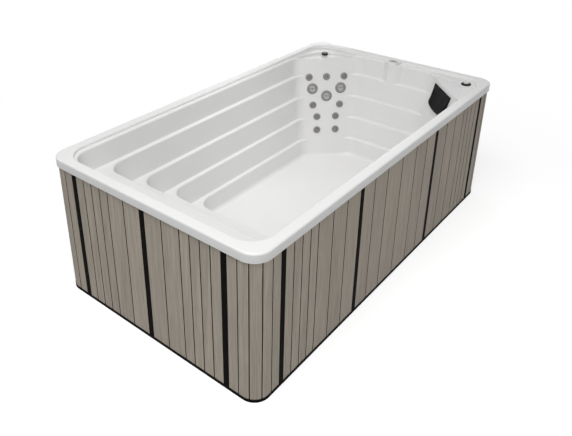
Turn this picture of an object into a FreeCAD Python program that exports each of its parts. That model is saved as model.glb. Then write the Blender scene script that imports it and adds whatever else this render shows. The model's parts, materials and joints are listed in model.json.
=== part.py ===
"""Swim spa: a moulded tub with steps at one end and jets in two corners, in a boarded cabinet.

Millimetres, +Z up. The origin is on the ground under the middle of the cabinet. +X points from the
steps to the jets. The corner with the massage jets is on the +Y side, the pillow is on the -Y side.
"""
import FreeCAD, Part
import math
import os

V = FreeCAD.Vector
ROOT2 = math.sqrt(2.0)

# Overall size
LENGTH = 4000.0
WIDTH = 2240.0
HEIGHT = 1330.0

# Rim of the tub
RIM_R = 150.0
RIM_EDGE_R = 15.0
RIM_TOP = 90.0
APRON_H = 78.0
APRON_T = 8.0
LIP_DROP = 30.0
LIP_R = 200.0
LIP_CHAMFER = 8.0
BAND = 30.0
SKIN = 10.0

# Walls, ledges and steps of the tub
LEDGES = 4
FIRST_LEDGE = 217.0
LEDGE_PITCH = 259.0
LEDGE_IN = 50.0
DRAFT = 15.0
NOSING_R = 16.0
COVE_R = 12.0
ROUND_STEPS = 3
TREAD = 320.0
FLOOR_Z = 90.0
FLOOR_R = 50.0

# Cut-off corners at the jets end, and the shelves on them
CORNER_CUT = 520.0
CORNER_LEAN = 0.185
CORNER_SOFT_R = 180.0
SHELF_HALF = 330.0
SHELF_BACK = 150.0
SHELF_DEPTH = 20.0
SHELF_FRONT = 20.0
SHELF_STEP_W = 12.0
SHELF_STEP_H = 5.0

# Boss and tongue that carry the control panel
BOSS_HALF = 48.0
BOSS_FLARE = 120.0
BOSS_R = 60.0
TONGUE_REACH = 78.0
TONGUE_ROOT_HALF = 92.0
TONGUE_TIP_HALF = 54.0
TONGUE_R = 20.0
TONGUE_ROOT_R = 2.0
TONGUE_BITE = 1.0
TONGUE_H = 90.0

# Cabinet: insets are measured inwards from the rim's outer edge
BOARD_INSET = 15.0
BOARD_T = 12.0
BACKER_T = 6.0
STRIP_PROUD = 2.0
STRIP_W = 48.0
STRIP_WALL = 4.0
BOARD_GAP = 8.0
BOARD_EDGE_R = 2.0
BACKER_GAP = 4.0
NARROW_PITCH = 99.0
NARROW_BOARDS = 4
SIDE_WIDE_BOARDS = 3
END_WIDE_BOARDS = 2
MIDDLE_PITCHES = (178.0, 211.0)
CORNER_BOARDS = 5
SIDE_STRIP_IN = 300.0
SIDE_STRIP_INNER = 671.0
END_STRIP_IN = 307.0
CLAD_TUCK = 18.0

# Base and frame
TRIM_PROUD = 3.0
TRIM_H = 28.0
PAN_T = 6.0
FRAME_W = 40.0
FRAME_T = 3.0
BEARER_W = 60.0
BEARER_IN = 115.0
BEARERS = 5
SCREW_HEAD_R = 4.0
SCREW_HEAD_H = 2.5
SCREW_R = 2.0
SCREW_L = 24.0
SCREW_OFF = 11.0
SCREW_ROWS = 3
SCREW_MARGIN = 110.0

# Fits
CLEAR = 0.3
RUN_FIT = 0.08

# Hoses and manifolds behind the corner walls
HOSE_WALL = 3.5
HOSE_FIT = 0.1
HOSE_BEND = 30.0
HOSE_NEAR = 125.0
HOSE_FAR = 155.0
MANIFOLD_HALF = 240.0
MANIFOLD_H = 64.0
MANIFOLD_DEPTH = 90.0
MANIFOLD_R = 8.0
MANIFOLD_DROP = 1032.0

# Jets: offset along the corner wall, drop below the deck, and depth of the hose behind the wall
SMALL_JETS = (
    (-212.0, 240.0, HOSE_NEAR), (0.0, 240.0, HOSE_FAR), (212.0, 240.0, HOSE_NEAR),
    (-163.0, 577.0, HOSE_NEAR), (163.0, 577.0, HOSE_NEAR),
    (-114.0, 720.0, HOSE_FAR), (114.0, 720.0, HOSE_FAR),
    (-114.0, 883.0, HOSE_NEAR), (114.0, 883.0, HOSE_NEAR),
)
LARGE_JETS = ((-172.0, 378.0, HOSE_FAR), (172.0, 378.0, HOSE_FAR), (0.0, 471.0, HOSE_NEAR))
PILLOW_JETS = SMALL_JETS[-4:]
SMALL_FACE_R = 43.0
SMALL_BORE_R = 22.0
LARGE_FACE_R = 66.0
LARGE_BORE_R = 44.0
JET_WALL = 4.0
FLANGE_T = 3.0
FLANGE_IN = 5.0
NOZZLE_R = 6.0
NOZZLE_WALL = 4.0
NOZZLE_H = 3.0
DISH_R = 16.0
DISH_H = 1.0
FACE_H = 5.5
FACE_SLOPE = 4.0
FACE_ROUND = 6.0
RING_WALL = 4.8
RING_EDGE_H = 4.0
RING_CROWN_H = 9.0
PIN_R = 6.0
PIN_H = 6.0
RIB_R = 16.0
RIB_W = 4.0
RIB_H = 4.0
ROTOR_EDGE = 4.0
ROTOR_EDGE_H = 3.0
PORT_R = 5.5
PORT_OUT = 26.0
JET_DEPTH = 66.0
STEM_DEPTH = 40.0
BARB_R = 9.5
BARB_END = 84.0
NUT_W = 9.0
NUT_T = 12.0

# Pillow
PILLOW_HALF = 217.0
PILLOW_TAPER = 36.0
PILLOW_DROP = 60.0
PILLOW_H = 262.0
PILLOW_ARCH = 24.0
PILLOW_LIP = 16.0
PILLOW_DISH = 15.0
PILLOW_ROLL = 50.0
PILLOW_ROLL_H = 78.0
PILLOW_ROWS = ((0.0, 1.0), (0.5, 1.0), (0.8, 0.97), (0.94, 0.8), (1.0, 0.45))

# Control panel
PANEL_X = 56.0
PANEL_Y = 94.0
PANEL_R = 12.0
PANEL_T = 5.0
PANEL_EDGE_R = 2.0
PANEL_BODY_X = 44.0
PANEL_BODY_Y = 78.0
PANEL_BODY_H = 24.0
PANEL_FROM_TIP = 9.0
SCREEN_X = 18.0
SCREEN_Y = 46.0
SCREEN_T = 2.0
SCREEN_LINE = 11.0
BUTTON_R = 5.5
BUTTON_PITCH = 19.0
BUTTON_COUNT = 4
BUTTON_PROUD = 2.0
BUTTON_LEN = 7.0
BUTTON_EDGE = 1.0
BUTTON_DISH = 0.8
BUTTON_LINE = 12.0
BUTTON_TRAVEL = 1.0

# Air control on the left shelf and diverter behind the right shelf
AIR_BACK = 112.0
AIR_KNOB_R = 37.0
AIR_KNOB_H = 32.0
KNOB_TAPER = 2.0
KNOB_ROUND = 6.0
KNOB_RIM = 14.0
KNOB_DISH = 3.0
FLUTES = 12
FLUTE_R = 4.0
FLUTE_BITE = 2.5
AIR_NECK_R = 16.0
AIR_FLANGE_R = 30.0
VALVE_WALL = 4.0
AIR_BODY_L = 80.0
DIVERTER_BACK = 229.0
DIVERTER_RING_R = 52.0
DIVERTER_CAP_R = 33.0
DIVERTER_RING_H = 9.0
DIVERTER_RING_GAP = 1.5
DIVERTER_LIP_W = 5.0
DIVERTER_LIP_H = 2.0
DIVERTER_CAP_H = 16.0
DIVERTER_CAP_ROUND = 5.0
DIMPLE_R = 4.0
DIMPLE_DEPTH = 2.0
DIVERTER_NECK_R = 25.0
DIVERTER_BODY_R = 46.0
DIVERTER_BODY_L = 120.0
DIVERTER_NECK_L = 4.0
DIVERTER_SHOULDER = 20.0
VALVE_STEM_R = 8.0
VALVE_STEM_L = 40.0

# Pumps under the steps
PUMP_IN = 700.0
PUMP_Y = 300.0
PUMP_Z = 210.0
VOLUTE_R = 98.0
VOLUTE_W = 84.0
VOLUTE_WALL = 9.0
IMPELLER_R = 74.0
IMPELLER_T = 8.0
IMPELLER_GAP = 4.0
VANES = 6
VANE_H = 22.0
VANE_T = 6.0
SHAFT_R = 9.0
MOTOR_R = 78.0
MOTOR_L = 260.0
MOTOR_CAP = 24.0
MOTOR_RIBS = 10
MOTOR_RIB_PITCH = 18.0
MOTOR_RIB_W = 9.0
MOTOR_RIB_H = 6.0
MOTOR_FOOT_L = 150.0
MOTOR_FOOT_W = 130.0
MOTOR_FOOT_T = 12.0
OUTLET_UP = 58.0
OUTLET_L = 50.0
INLET_L = 40.0

# Pipes and suction covers
PIPE_R = 31.5
PIPE_WALL = 3.5
PIPE_BEND = 110.0
SUPPLY_IN = 170.0
COVER_R = 62.0
COVER_T = 16.0
COVER_WALL = 4.0
COVER_EDGE = 4.0
COVER_ROUND = 10.0
COVER_SLOTS = 8
COVER_SLOT_W = 6.0
COVER_SLOT_IN = 14.0
SPIGOT_L = 20.0
SUCTION_LEAD = 120.0

# Heater, control box and filter
BOX_X = 110.0
BOX_Y = 320.0
BOX_H = 260.0
BOX_Z = 500.0
BOX_R = 12.0
GLAND_R = 14.0
GLAND_L = 18.0
HEATER_R = 38.0
HEATER_WALL = 2.0
HEATER_L = 380.0
HEATER_COLLAR_R = 48.0
HEATER_COLLAR_L = 30.0
HEATER_DROP = 62.0
HEATER_FOOT_W = 20.0
FILTER_IN_X = 310.0
FILTER_IN_Y = 400.0
FILTER_R = 112.0
FILTER_H = 430.0
FILTER_WALL = 6.0
LID_W = 12.0
LID_SKIRT = 40.0
LID_CROWN = 24.0
CARTRIDGE_R = 78.0
CARTRIDGE_BORE_R = 26.0
CARTRIDGE_GAP = 30.0

# Places worked out from the sizes above
HALF_L = LENGTH / 2.0
HALF_W = WIDTH / 2.0
DECK_Z = HEIGHT - LIP_DROP
APRON_Z = HEIGHT - APRON_H
LIP_X = HALF_L - RIM_TOP
LIP_Y = HALF_W - RIM_TOP
WALL_X = LIP_X - BAND
WALL_Y = LIP_Y - BAND
TUB_R = LIP_R - BAND
CORNER_REACH = (WALL_X + WALL_Y - CORNER_CUT) / ROOT2
CORNER_MID = (WALL_X - WALL_Y) / ROOT2
LEAN_ANGLE = math.atan(CORNER_LEAN)
SLANT = math.hypot(1.0, CORNER_LEAN)
BACKER_INSET = BOARD_INSET + BOARD_T
FRAME_INSET = BACKER_INSET + BACKER_T
CLAD_TOP = APRON_Z + CLAD_TUCK
FRAME_TOP = HEIGHT - SKIN
SIDE_STRIP_OUTER = HALF_L - SIDE_STRIP_IN
END_STRIP = HALF_W - END_STRIP_IN
ROTOR_R = LARGE_BORE_R - RING_WALL - 2 * RUN_FIT
PUMP_X = PUMP_IN - HALF_L
SUPPLY_Y = HALF_W - SUPPLY_IN
FILTER_X = FILTER_IN_X - HALF_L
FILTER_Y = HALF_W - FILTER_IN_Y
OUTLET_Z = PUMP_Z + OUTLET_UP
MANIFOLD_Z = DECK_Z - MANIFOLD_DROP
MANIFOLD_W = -(HOSE_NEAR + HOSE_FAR) / 2.0
MANIFOLD_V = (MANIFOLD_Z - DECK_Z - MANIFOLD_W * math.sin(LEAN_ANGLE)) / math.cos(LEAN_ANGLE)


def slab(half_x, half_y, radius, z0, z1):
    """Upright block with rounded corners, centred on the origin."""
    block = Part.makeBox(2 * half_x, 2 * half_y, z1 - z0, V(-half_x, -half_y, z0))
    upright = [edge for edge in block.Edges if abs(edge.tangentAt(edge.FirstParameter).z) > 0.5]
    return block.makeFillet(radius, upright)


def inset_slab(inset, z0, z1):
    """Block whose sides lie inset mm inside the rim's outer edge."""
    return slab(HALF_L - inset, HALF_W - inset, RIM_R - inset, z0, z1)


def inset_ring(outer, inner, z0, z1):
    """Ring between two insets from the rim's outer edge."""
    return inset_slab(outer, z0, z1).cut(inset_slab(inner, z0, z1))


def box(x0, x1, y0, y1, z0, z1):
    """Box between two corners."""
    return Part.makeBox(x1 - x0, y1 - y0, z1 - z0, V(x0, y0, z0))


def rounded_wire(corners, radii, z):
    """Closed level wire through the given corners, each rounded by its own radius."""
    points = [V(x, y, z) for x, y in corners]
    arcs = []
    for index, here in enumerate(points):
        back = (points[index - 1] - here).normalize()
        ahead = (points[(index + 1) % len(points)] - here).normalize()
        radius = radii[index]
        half = back.getAngle(ahead) / 2.0
        run = radius / math.tan(half)
        middle = here + (back + ahead).normalize() * (radius / math.sin(half) - radius)
        arcs.append((here + back * run, middle, here + ahead * run))
    edges = []
    for index, (start, middle, end) in enumerate(arcs):
        edges.append(Part.LineSegment(arcs[index - 1][2], start).toShape())
        edges.append(Part.Arc(start, middle, end).toShape())
    return Part.Wire(edges)


def ruled(*wires):
    """Solid with straight sides from each level wire to the next, from the top down."""
    return Part.makeLoft(list(reversed(wires)), True, True)


def lathe(profile):
    """Solid of revolution about Z: pairs are lines to (r, z), fours are arcs by (r, z) to (r, z)."""
    start = V(profile[0][0], 0, profile[0][1])
    here = start
    edges = []
    for step in profile[1:] + [profile[0]]:
        end = V(step[-2], 0, step[-1])
        if len(step) == 4:
            edges.append(Part.Arc(here, V(step[0], 0, step[1]), end).toShape())
        else:
            edges.append(Part.LineSegment(here, end).toShape())
        here = end
    return Part.Face(Part.Wire(edges)).revolve(V(0, 0, 0), V(0, 0, 1), 360)


def shoulder(r_in, z_top, r_out, z_low):
    """Arc for a lathe profile that rounds a top edge, from (r_in, z_top) down to (r_out, z_low)."""
    share = math.sqrt(0.5)
    return (r_in + (r_out - r_in) * share, z_low + (z_top - z_low) * share, r_out, z_low)


def drum(radius, z0, z1):
    """Upright cylinder on the Z axis."""
    return Part.makeCylinder(radius, z1 - z0, V(0, 0, z0))


def placed(shape, place):
    """Copy of a shape moved to a place."""
    moved = shape.copy()
    moved.Placement = place.multiply(moved.Placement)
    return moved


def tube(points, radius, wall, bend):
    """Hollow pipe along straight runs joined by arcs of one bend radius."""
    edges = []
    here = points[0]
    for index in range(1, len(points) - 1):
        corner = points[index]
        back = (points[index - 1] - corner).normalize()
        ahead = (points[index + 1] - corner).normalize()
        half = back.getAngle(ahead) / 2.0
        run = bend / math.tan(half)
        middle = corner + (back + ahead).normalize() * (bend / math.sin(half) - bend)
        edges.append(Part.LineSegment(here, corner + back * run).toShape())
        edges.append(Part.Arc(corner + back * run, middle, corner + ahead * run).toShape())
        here = corner + ahead * run
    edges.append(Part.LineSegment(here, points[-1]).toShape())
    path = Part.Wire(edges)
    along = (points[1] - points[0]).normalize()
    outer = Part.Face(Part.Wire(Part.makeCircle(radius, points[0], along)))
    inner = Part.Face(Part.Wire(Part.makeCircle(radius - wall, points[0], along)))
    return path.makePipe(outer).cut(path.makePipe(inner))


def export(name, shape):
    """Write one piece, or a group of like pieces, under its name."""
    shape.exportStep("parts/" + name + ".step")


# Tub shell

def ledge_z(tier):
    """Height of the ledge above a tier; the first tier starts at the deck."""
    if tier == 0:
        return DECK_Z
    return DECK_Z - FIRST_LEDGE - (tier - 1) * LEDGE_PITCH


def tier_foot(tier):
    """Height of the lower end of a tier."""
    return FLOOR_Z if tier == LEDGES else ledge_z(tier + 1)


def corner_reach(z):
    """Distance of the cut-off corner's wall from the Z axis, along the corner's diagonal."""
    return CORNER_REACH - CORNER_LEAN * (DECK_Z - z)


def wall_inset(tier, z):
    """How far a tier's wall has come in at a height."""
    return tier * LEDGE_IN + DRAFT * (ledge_z(tier) - z) / (ledge_z(tier) - tier_foot(tier))


def tier_wire(tier, z, grow, flare):
    """Outline of a tier at a height, grown outwards, with its walls (not its corners) flared."""
    inset = wall_inset(tier, z) - grow - flare
    half_y = WALL_Y - inset
    jets_x = WALL_X - inset
    steps_x = tier * (TREAD - LEDGE_IN) + inset - WALL_X
    reach = ROOT2 * (corner_reach(z) + grow * SLANT)
    right = [(steps_x, -half_y), (reach - half_y, -half_y), (jets_x, jets_x - reach)]
    left = [(x, -y) for x, y in reversed(right)]
    tight = TUB_R + grow
    soft = CORNER_SOFT_R + grow
    return rounded_wire(right + left, (tight, soft, soft, soft, soft, tight), z)


def boss_solid(grow):
    """Boss below the control panel: it carries the second tier's wall up through the top tier."""
    foot = ledge_z(1) - NOSING_R - grow

    def boss_wire(z):
        front = WALL_X - wall_inset(1, z) + grow
        back = WALL_X + NOSING_R + grow + SKIN
        half = BOSS_HALF - grow
        corners = [(front, -half), (back, -half - BOSS_FLARE), (back, half + BOSS_FLARE), (front, half)]
        return rounded_wire(corners, (BOSS_R, BOSS_R / 5, BOSS_R / 5, BOSS_R), z)

    return ruled(boss_wire(DECK_Z), boss_wire(foot))


def round_steps():
    """Sine and cosine of the steps along a quarter round."""
    angles = [math.pi / 2 * step / ROUND_STEPS for step in range(ROUND_STEPS + 1)]
    return [(math.sin(angle), math.cos(angle)) for angle in angles]


def tier_solid(tier, grow):
    """Water space of one tier, with a rounded nosing at its top and a cove at its foot."""
    top = ledge_z(tier) - (grow if tier else 0.0)
    foot = tier_foot(tier) - grow
    nosing = [(top - NOSING_R * (1 - c), NOSING_R * (1 - s)) for s, c in round_steps()]
    cove = [(foot + COVE_R * (1 - s), COVE_R * (c - 1)) for s, c in round_steps()]
    if tier == LEDGES:
        cove = [(foot, 0.0)]
    solid = ruled(*[tier_wire(tier, z, grow, flare) for z, flare in nosing + cove])
    if tier == LEDGES:
        rim = [edge for edge in solid.Edges if abs(edge.BoundBox.ZMax - foot) < 0.01]
        solid = solid.makeFillet(FLOOR_R + grow, rim)
    return solid


def tub_volume(grow):
    """Water space of the tub, grown outwards by the given distance."""
    tiers = [tier_solid(tier, grow) for tier in range(LEDGES + 1)]
    volume = tiers[0].multiFuse(tiers[1:]).removeSplitter()
    return volume.cut(boss_solid(grow)).removeSplitter()


def corner_axes(side):
    """Horizontal unit vectors at a cut-off corner: outwards, and along the wall."""
    return V(1, side, 0) / ROOT2, V(-side, 1, 0) / ROOT2


def shelf_segment(side, grow, z0, z1):
    """Circular segment behind a cut-off corner's top edge."""
    out, along = corner_axes(side)
    middle = out * CORNER_REACH - along * (side * CORNER_MID)
    ends = [middle + along * (sign * (SHELF_HALF + grow)) for sign in (-1, 1)]
    back = middle + out * (SHELF_BACK + grow)
    front = [end - out * SHELF_FRONT for end in ends]
    edges = [
        Part.Arc(ends[0], back, ends[1]).toShape(),
        Part.LineSegment(ends[1], front[1]).toShape(),
        Part.LineSegment(front[1], front[0]).toShape(),
        Part.LineSegment(front[0], ends[0]).toShape(),
    ]
    segment = Part.Face(Part.Wire(edges)).extrude(V(0, 0, z1 - z0))
    segment.translate(V(0, 0, z0))
    return segment


def tongue():
    """Corbel at rim height on the jets end, with a level top for the control panel."""
    root = LIP_X + LIP_CHAMFER + TONGUE_BITE
    tip = LIP_X - TONGUE_REACH
    foot = HEIGHT - TONGUE_H
    foot_tip = WALL_X - wall_inset(1, foot)
    right = [(tip, -TONGUE_TIP_HALF), (root, -TONGUE_ROOT_HALF)]
    low_right = [(foot_tip, -BOSS_HALF), (root, -BOSS_HALF)]
    top, low = (half + [(x, -y) for x, y in reversed(half)] for half in (right, low_right))
    radii = (TONGUE_R, TONGUE_ROOT_R, TONGUE_ROOT_R, TONGUE_R)
    return ruled(rounded_wire(top, radii, HEIGHT), rounded_wire(low, radii, foot))


def panel_centre():
    """Middle of the control panel on top of the tongue."""
    return V(LIP_X - TONGUE_REACH + PANEL_FROM_TIP + PANEL_X / 2, 0, HEIGHT)


def knob_place(side, back, z):
    """Upright place on a corner's deck, back mm behind the shelf's front edge."""
    out, along = corner_axes(side)
    spot = out * (CORNER_REACH + back) - along * (side * CORNER_MID)
    return FreeCAD.Placement(V(spot.x, spot.y, z), FreeCAD.Rotation())


def corner_place(side):
    """Local frame of a cut-off corner: X along the wall, Y up the slope, Z into the water."""
    out, _ = corner_axes(side)
    into = V(-out.x * math.cos(LEAN_ANGLE), -out.y * math.cos(LEAN_ANGLE), math.sin(LEAN_ANGLE))
    up = V(out.x * math.sin(LEAN_ANGLE), out.y * math.sin(LEAN_ANGLE), math.cos(LEAN_ANGLE))
    along = up.cross(into)
    _, level = corner_axes(side)
    spot = out * CORNER_REACH - level * (side * CORNER_MID) + V(0, 0, DECK_Z)
    rows = FreeCAD.Matrix(along.x, up.x, into.x, spot.x, along.y, up.y, into.y, spot.y,
                          along.z, up.z, into.z, spot.z, 0, 0, 0, 1)
    return FreeCAD.Placement(rows)


def jet_place(side, spot):
    """Local frame of one jet: Z points out of the wall into the water."""
    offset, drop, _ = spot
    shift = FreeCAD.Placement(V(offset, -drop * SLANT, 0), FreeCAD.Rotation())
    return corner_place(side).multiply(shift)


def suction_place(side):
    """Local frame of a suction cover on the lowest riser: Z points into the water."""
    angle = math.atan(DRAFT / (ledge_z(LEDGES) - FLOOR_Z))
    height = PUMP_Z + SUCTION_LEAD * math.sin(angle)
    face = LEDGES * (TREAD - LEDGE_IN) + wall_inset(LEDGES, height) - WALL_X
    turn = FreeCAD.Rotation(V(0, 1, 0), 90.0 - math.degrees(angle))
    return FreeCAD.Placement(V(face, side * PUMP_Y, height), turn)


def jet_spots():
    """Every jet as (corner side, spot, bore radius)."""
    spots = [(1, spot, SMALL_BORE_R) for spot in SMALL_JETS]
    spots += [(1, spot, LARGE_BORE_R) for spot in LARGE_JETS]
    spots += [(-1, spot, SMALL_BORE_R) for spot in PILLOW_JETS]
    return spots


def shell_holes():
    """Holes in the shell for jets, knobs, suction fittings and the control panel."""
    reach = 2 * SKIN
    holes = []
    for side, spot, bore in jet_spots():
        holes.append(placed(drum(bore + JET_WALL + CLEAR, -reach, reach), jet_place(side, spot)))
    for side in (-1, 1):
        holes.append(placed(drum(PIPE_R + CLEAR, -reach, reach), suction_place(side)))
    shelf_z = DECK_Z - SHELF_DEPTH
    holes.append(placed(drum(AIR_NECK_R + CLEAR, -reach, SKIN), knob_place(1, AIR_BACK, shelf_z)))
    holes.append(placed(drum(DIVERTER_NECK_R + CLEAR, -reach, SKIN), knob_place(-1, DIVERTER_BACK, DECK_Z)))
    centre = panel_centre()
    half_x = PANEL_BODY_X / 2 + CLEAR
    half_y = PANEL_BODY_Y / 2 + CLEAR
    depth = PANEL_BODY_H + CLEAR
    holes.append(box(centre.x - half_x, centre.x + half_x, -half_y, half_y, HEIGHT - depth, HEIGHT + SKIN))
    return holes


def tub_shell():
    """The moulded tub: rim, apron, deck, tiers, steps, floor, shelves and tongue in one skin."""
    rim = slab(HALF_L, HALF_W, RIM_R, APRON_Z, HEIGHT)
    rim = rim.makeFillet(RIM_EDGE_R, [edge for edge in rim.Edges if edge.BoundBox.ZMin > HEIGHT - 0.01])
    under_top = inset_slab(APRON_T, APRON_Z, HEIGHT - SKIN)
    under_top = under_top.cut(slab(LIP_X + SKIN, LIP_Y + SKIN, LIP_R + SKIN, APRON_Z, HEIGHT - SKIN))
    under_band = inset_slab(APRON_T, APRON_Z, DECK_Z - SKIN)
    shell = rim.cut(under_top).cut(under_band)
    shelf_z = DECK_Z - SHELF_DEPTH
    pans = [shelf_segment(side, SHELF_STEP_W + SKIN, shelf_z - SKIN, DECK_Z) for side in (-1, 1)]
    shell = shell.multiFuse([tub_volume(SKIN)] + pans)
    lip = slab(LIP_X, LIP_Y, LIP_R, DECK_Z, HEIGHT + SKIN)
    square = [(-1, -1), (1, -1), (1, 1), (-1, 1)]
    wide = [(x * (LIP_X + LIP_CHAMFER), y * (LIP_Y + LIP_CHAMFER)) for x, y in square]
    narrow = [(x * LIP_X, y * LIP_Y) for x, y in square]
    eased = ruled(rounded_wire(wide, (LIP_R + LIP_CHAMFER,) * 4, HEIGHT),
                  rounded_wire(narrow, (LIP_R,) * 4, HEIGHT - LIP_CHAMFER))
    pits = [shelf_segment(side, 0.0, shelf_z, DECK_Z + SKIN) for side in (-1, 1)]
    pits += [shelf_segment(side, SHELF_STEP_W, DECK_Z - SHELF_STEP_H, DECK_Z + SKIN) for side in (-1, 1)]
    shell = shell.cut(tub_volume(0.0).multiFuse([lip, eased] + pits))
    shell = shell.fuse(tongue())
    return shell.cut(Part.Compound(shell_holes())).removeSplitter()


# Cabinet

def side_pitches():
    """Long-side boards as (middle, pitch), from the middle of the side to one corner strip."""
    half_strip = STRIP_W / 2
    inner_half = SIDE_STRIP_INNER - half_strip
    outer, next_one = MIDDLE_PITCHES
    middle = [inner_half - outer - next_one, next_one, outer]
    panel = SIDE_STRIP_OUTER - SIDE_STRIP_INNER - STRIP_W
    wide = (panel - NARROW_BOARDS * NARROW_PITCH) / SIDE_WIDE_BOARDS
    outside = [wide] * SIDE_WIDE_BOARDS + [NARROW_PITCH] * NARROW_BOARDS
    return walk(0.0, middle) + walk(SIDE_STRIP_INNER + half_strip, outside)


def end_pitches():
    """End boards as (middle, pitch), from the middle strip to one corner strip."""
    panel = END_STRIP - STRIP_W
    wide = (panel - NARROW_BOARDS * NARROW_PITCH) / END_WIDE_BOARDS
    return walk(STRIP_W / 2, [wide] * END_WIDE_BOARDS + [NARROW_PITCH] * NARROW_BOARDS)


def walk(start, pitches):
    """Turn a row of pitches into (middle, pitch) pairs."""
    spots = []
    for pitch in pitches:
        spots.append((start + pitch / 2, pitch))
        start += pitch
    return spots


def board(width):
    """One straight board, its outer face on Y = 0 facing -Y, with eased outer edges."""
    plank = box(-width / 2, width / 2, 0, BOARD_T, TRIM_H, CLAD_TOP)
    outer = [edge for edge in plank.Edges if edge.BoundBox.YMax < 0.01 and edge.BoundBox.ZLength > 1]
    return plank.makeFillet(BOARD_EDGE_R, outer)


def on_side(shape, x, turns):
    """Stand a piece made for the -Y side at x along it, on one of the four sides."""
    depth = HALF_L if turns % 2 else HALF_W
    shift = FreeCAD.Placement(V(x, BOARD_INSET - depth, 0), FreeCAD.Rotation())
    turn = FreeCAD.Placement(V(0, 0, 0), FreeCAD.Rotation(V(0, 0, 1), 90.0 * turns))
    return placed(shape, turn.multiply(shift))


def straight_boards(turns, spots):
    """All boards of one side, mirrored about its middle."""
    return [on_side(board(pitch - BOARD_GAP), sign * middle, turns)
            for middle, pitch in spots for sign in (-1, 1)]


def corner_path():
    """Radius and straight lengths of the boarding at a corner, from end strip to side strip."""
    radius = RIM_R - BOARD_INSET
    end_run = HALF_W - RIM_R - END_STRIP - STRIP_W / 2
    side_run = HALF_L - RIM_R - SIDE_STRIP_OUTER - STRIP_W / 2
    return radius, end_run, side_run


def corner_point(distance, depth):
    """Point on the +X +Y corner at a distance along its face, depth mm behind the face."""
    radius, end_run, _ = corner_path()
    centre = V(HALF_L - RIM_R, HALF_W - RIM_R, 0)
    arc = radius * math.pi / 2
    if distance <= end_run:
        return V(centre.x + radius - depth, centre.y - end_run + distance, 0)
    if distance >= end_run + arc:
        return V(centre.x - (distance - end_run - arc), centre.y + radius - depth, 0)
    angle = (distance - end_run) / radius
    return centre + V(math.cos(angle), math.sin(angle), 0) * (radius - depth)


def corner_edges(start, end, depth):
    """Lines and arc that follow the corner's face between two distances."""
    radius, end_run, _ = corner_path()
    bends = [end_run, end_run + radius * math.pi / 2]
    stops = [start] + [stop for stop in bends if start < stop < end] + [end]
    edges = []
    for first, last in zip(stops, stops[1:]):
        a, m, b = (corner_point(at, depth) for at in (first, (first + last) / 2, last))
        straight = last <= bends[0] or first >= bends[1]
        edges.append((Part.LineSegment(a, b) if straight else Part.Arc(a, m, b)).toShape())
    return edges


def corner_wall(start, end, front, back, z0, z1):
    """Upright wall that follows the +X +Y corner."""
    edges = corner_edges(start, end, front) + corner_edges(start, end, back)
    for at in (start, end):
        edges.append(Part.LineSegment(corner_point(at, front), corner_point(at, back)).toShape())
    face = Part.Face(Part.Wire(Part.__sortEdges__(edges)))
    wall = face.extrude(V(0, 0, z1 - z0))
    wall.translate(V(0, 0, z0))
    return wall


def four_corners(shape):
    """Copies of a +X +Y corner piece at all four corners."""
    lengthways = shape.mirror(V(0, 0, 0), V(1, 0, 0))
    pair = [shape, lengthways]
    return pair + [piece.mirror(V(0, 0, 0), V(0, 1, 0)) for piece in pair]


def corner_boards():
    """Boards that wrap the four corners."""
    radius, end_run, side_run = corner_path()
    pitch = (end_run + radius * math.pi / 2 + side_run) / CORNER_BOARDS
    boards = []
    for index in range(CORNER_BOARDS):
        start = index * pitch + BOARD_GAP / 2
        boards += four_corners(corner_wall(start, start + pitch - BOARD_GAP, 0, BOARD_T, TRIM_H, CLAD_TOP))
    return boards


def strip_spots():
    """Places of the panel joints as (distance along the side, side)."""
    spots = []
    for turns in (0, 2):
        spots += [(sign * at, turns) for at in (SIDE_STRIP_INNER, SIDE_STRIP_OUTER) for sign in (-1, 1)]
    for turns in (1, 3):
        spots += [(at, turns) for at in (-END_STRIP, 0.0, END_STRIP)]
    return spots


def cover_strip():
    """Channel that covers a panel joint, its back on the panels."""
    half = STRIP_W / 2
    channel = box(-half, half, -STRIP_PROUD, BOARD_T, TRIM_H, CLAD_TOP)
    outer = [edge for edge in channel.Edges if edge.BoundBox.YMax < 0 and edge.BoundBox.ZLength > 1]
    channel = channel.makeFillet(BOARD_EDGE_R, outer)
    inner = half - STRIP_WALL
    return channel.cut(box(-inner, inner, STRIP_WALL - STRIP_PROUD, BOARD_T, TRIM_H, CLAD_TOP))


def panel_backers():
    """Sheets behind the boards, parted behind each cover strip."""
    sheet = inset_ring(BACKER_INSET, FRAME_INSET, TRIM_H, CLAD_TOP)
    slot = box(-BACKER_GAP / 2, BACKER_GAP / 2, 0, 2 * BOARD_INSET + BOARD_T, TRIM_H, CLAD_TOP)
    return sheet.cut(Part.Compound([on_side(slot, at, turns) for at, turns in strip_spots()])).Solids


def panel_screws():
    """Screws through both panels at each joint, under the cover strips."""
    head = drum(SCREW_HEAD_R, -SCREW_HEAD_H, 0)
    screw = head.fuse(drum(SCREW_R, 0, SCREW_L)).removeSplitter()
    step = (CLAD_TOP - TRIM_H - 2 * SCREW_MARGIN) / (SCREW_ROWS - 1)
    inwards = FreeCAD.Rotation(V(1, 0, 0), -90)
    screws = []
    for at, turns in strip_spots():
        for row in range(SCREW_ROWS):
            height = TRIM_H + SCREW_MARGIN + row * step
            for sign in (-1, 1):
                lay = FreeCAD.Placement(V(sign * SCREW_OFF, BOARD_T, height), inwards)
                screws.append(on_side(placed(screw, lay), at, turns))
    return screws


def frame_ring(z0):
    """Channel bent into a ring behind the panels, open towards the tub."""
    inner = FRAME_INSET + FRAME_W
    z1 = z0 + FRAME_W
    ring = inset_ring(FRAME_INSET, inner, z0, z1)
    return ring.cut(inset_ring(FRAME_INSET + FRAME_T, inner, z0 + FRAME_T, z1 - FRAME_T))


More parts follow.
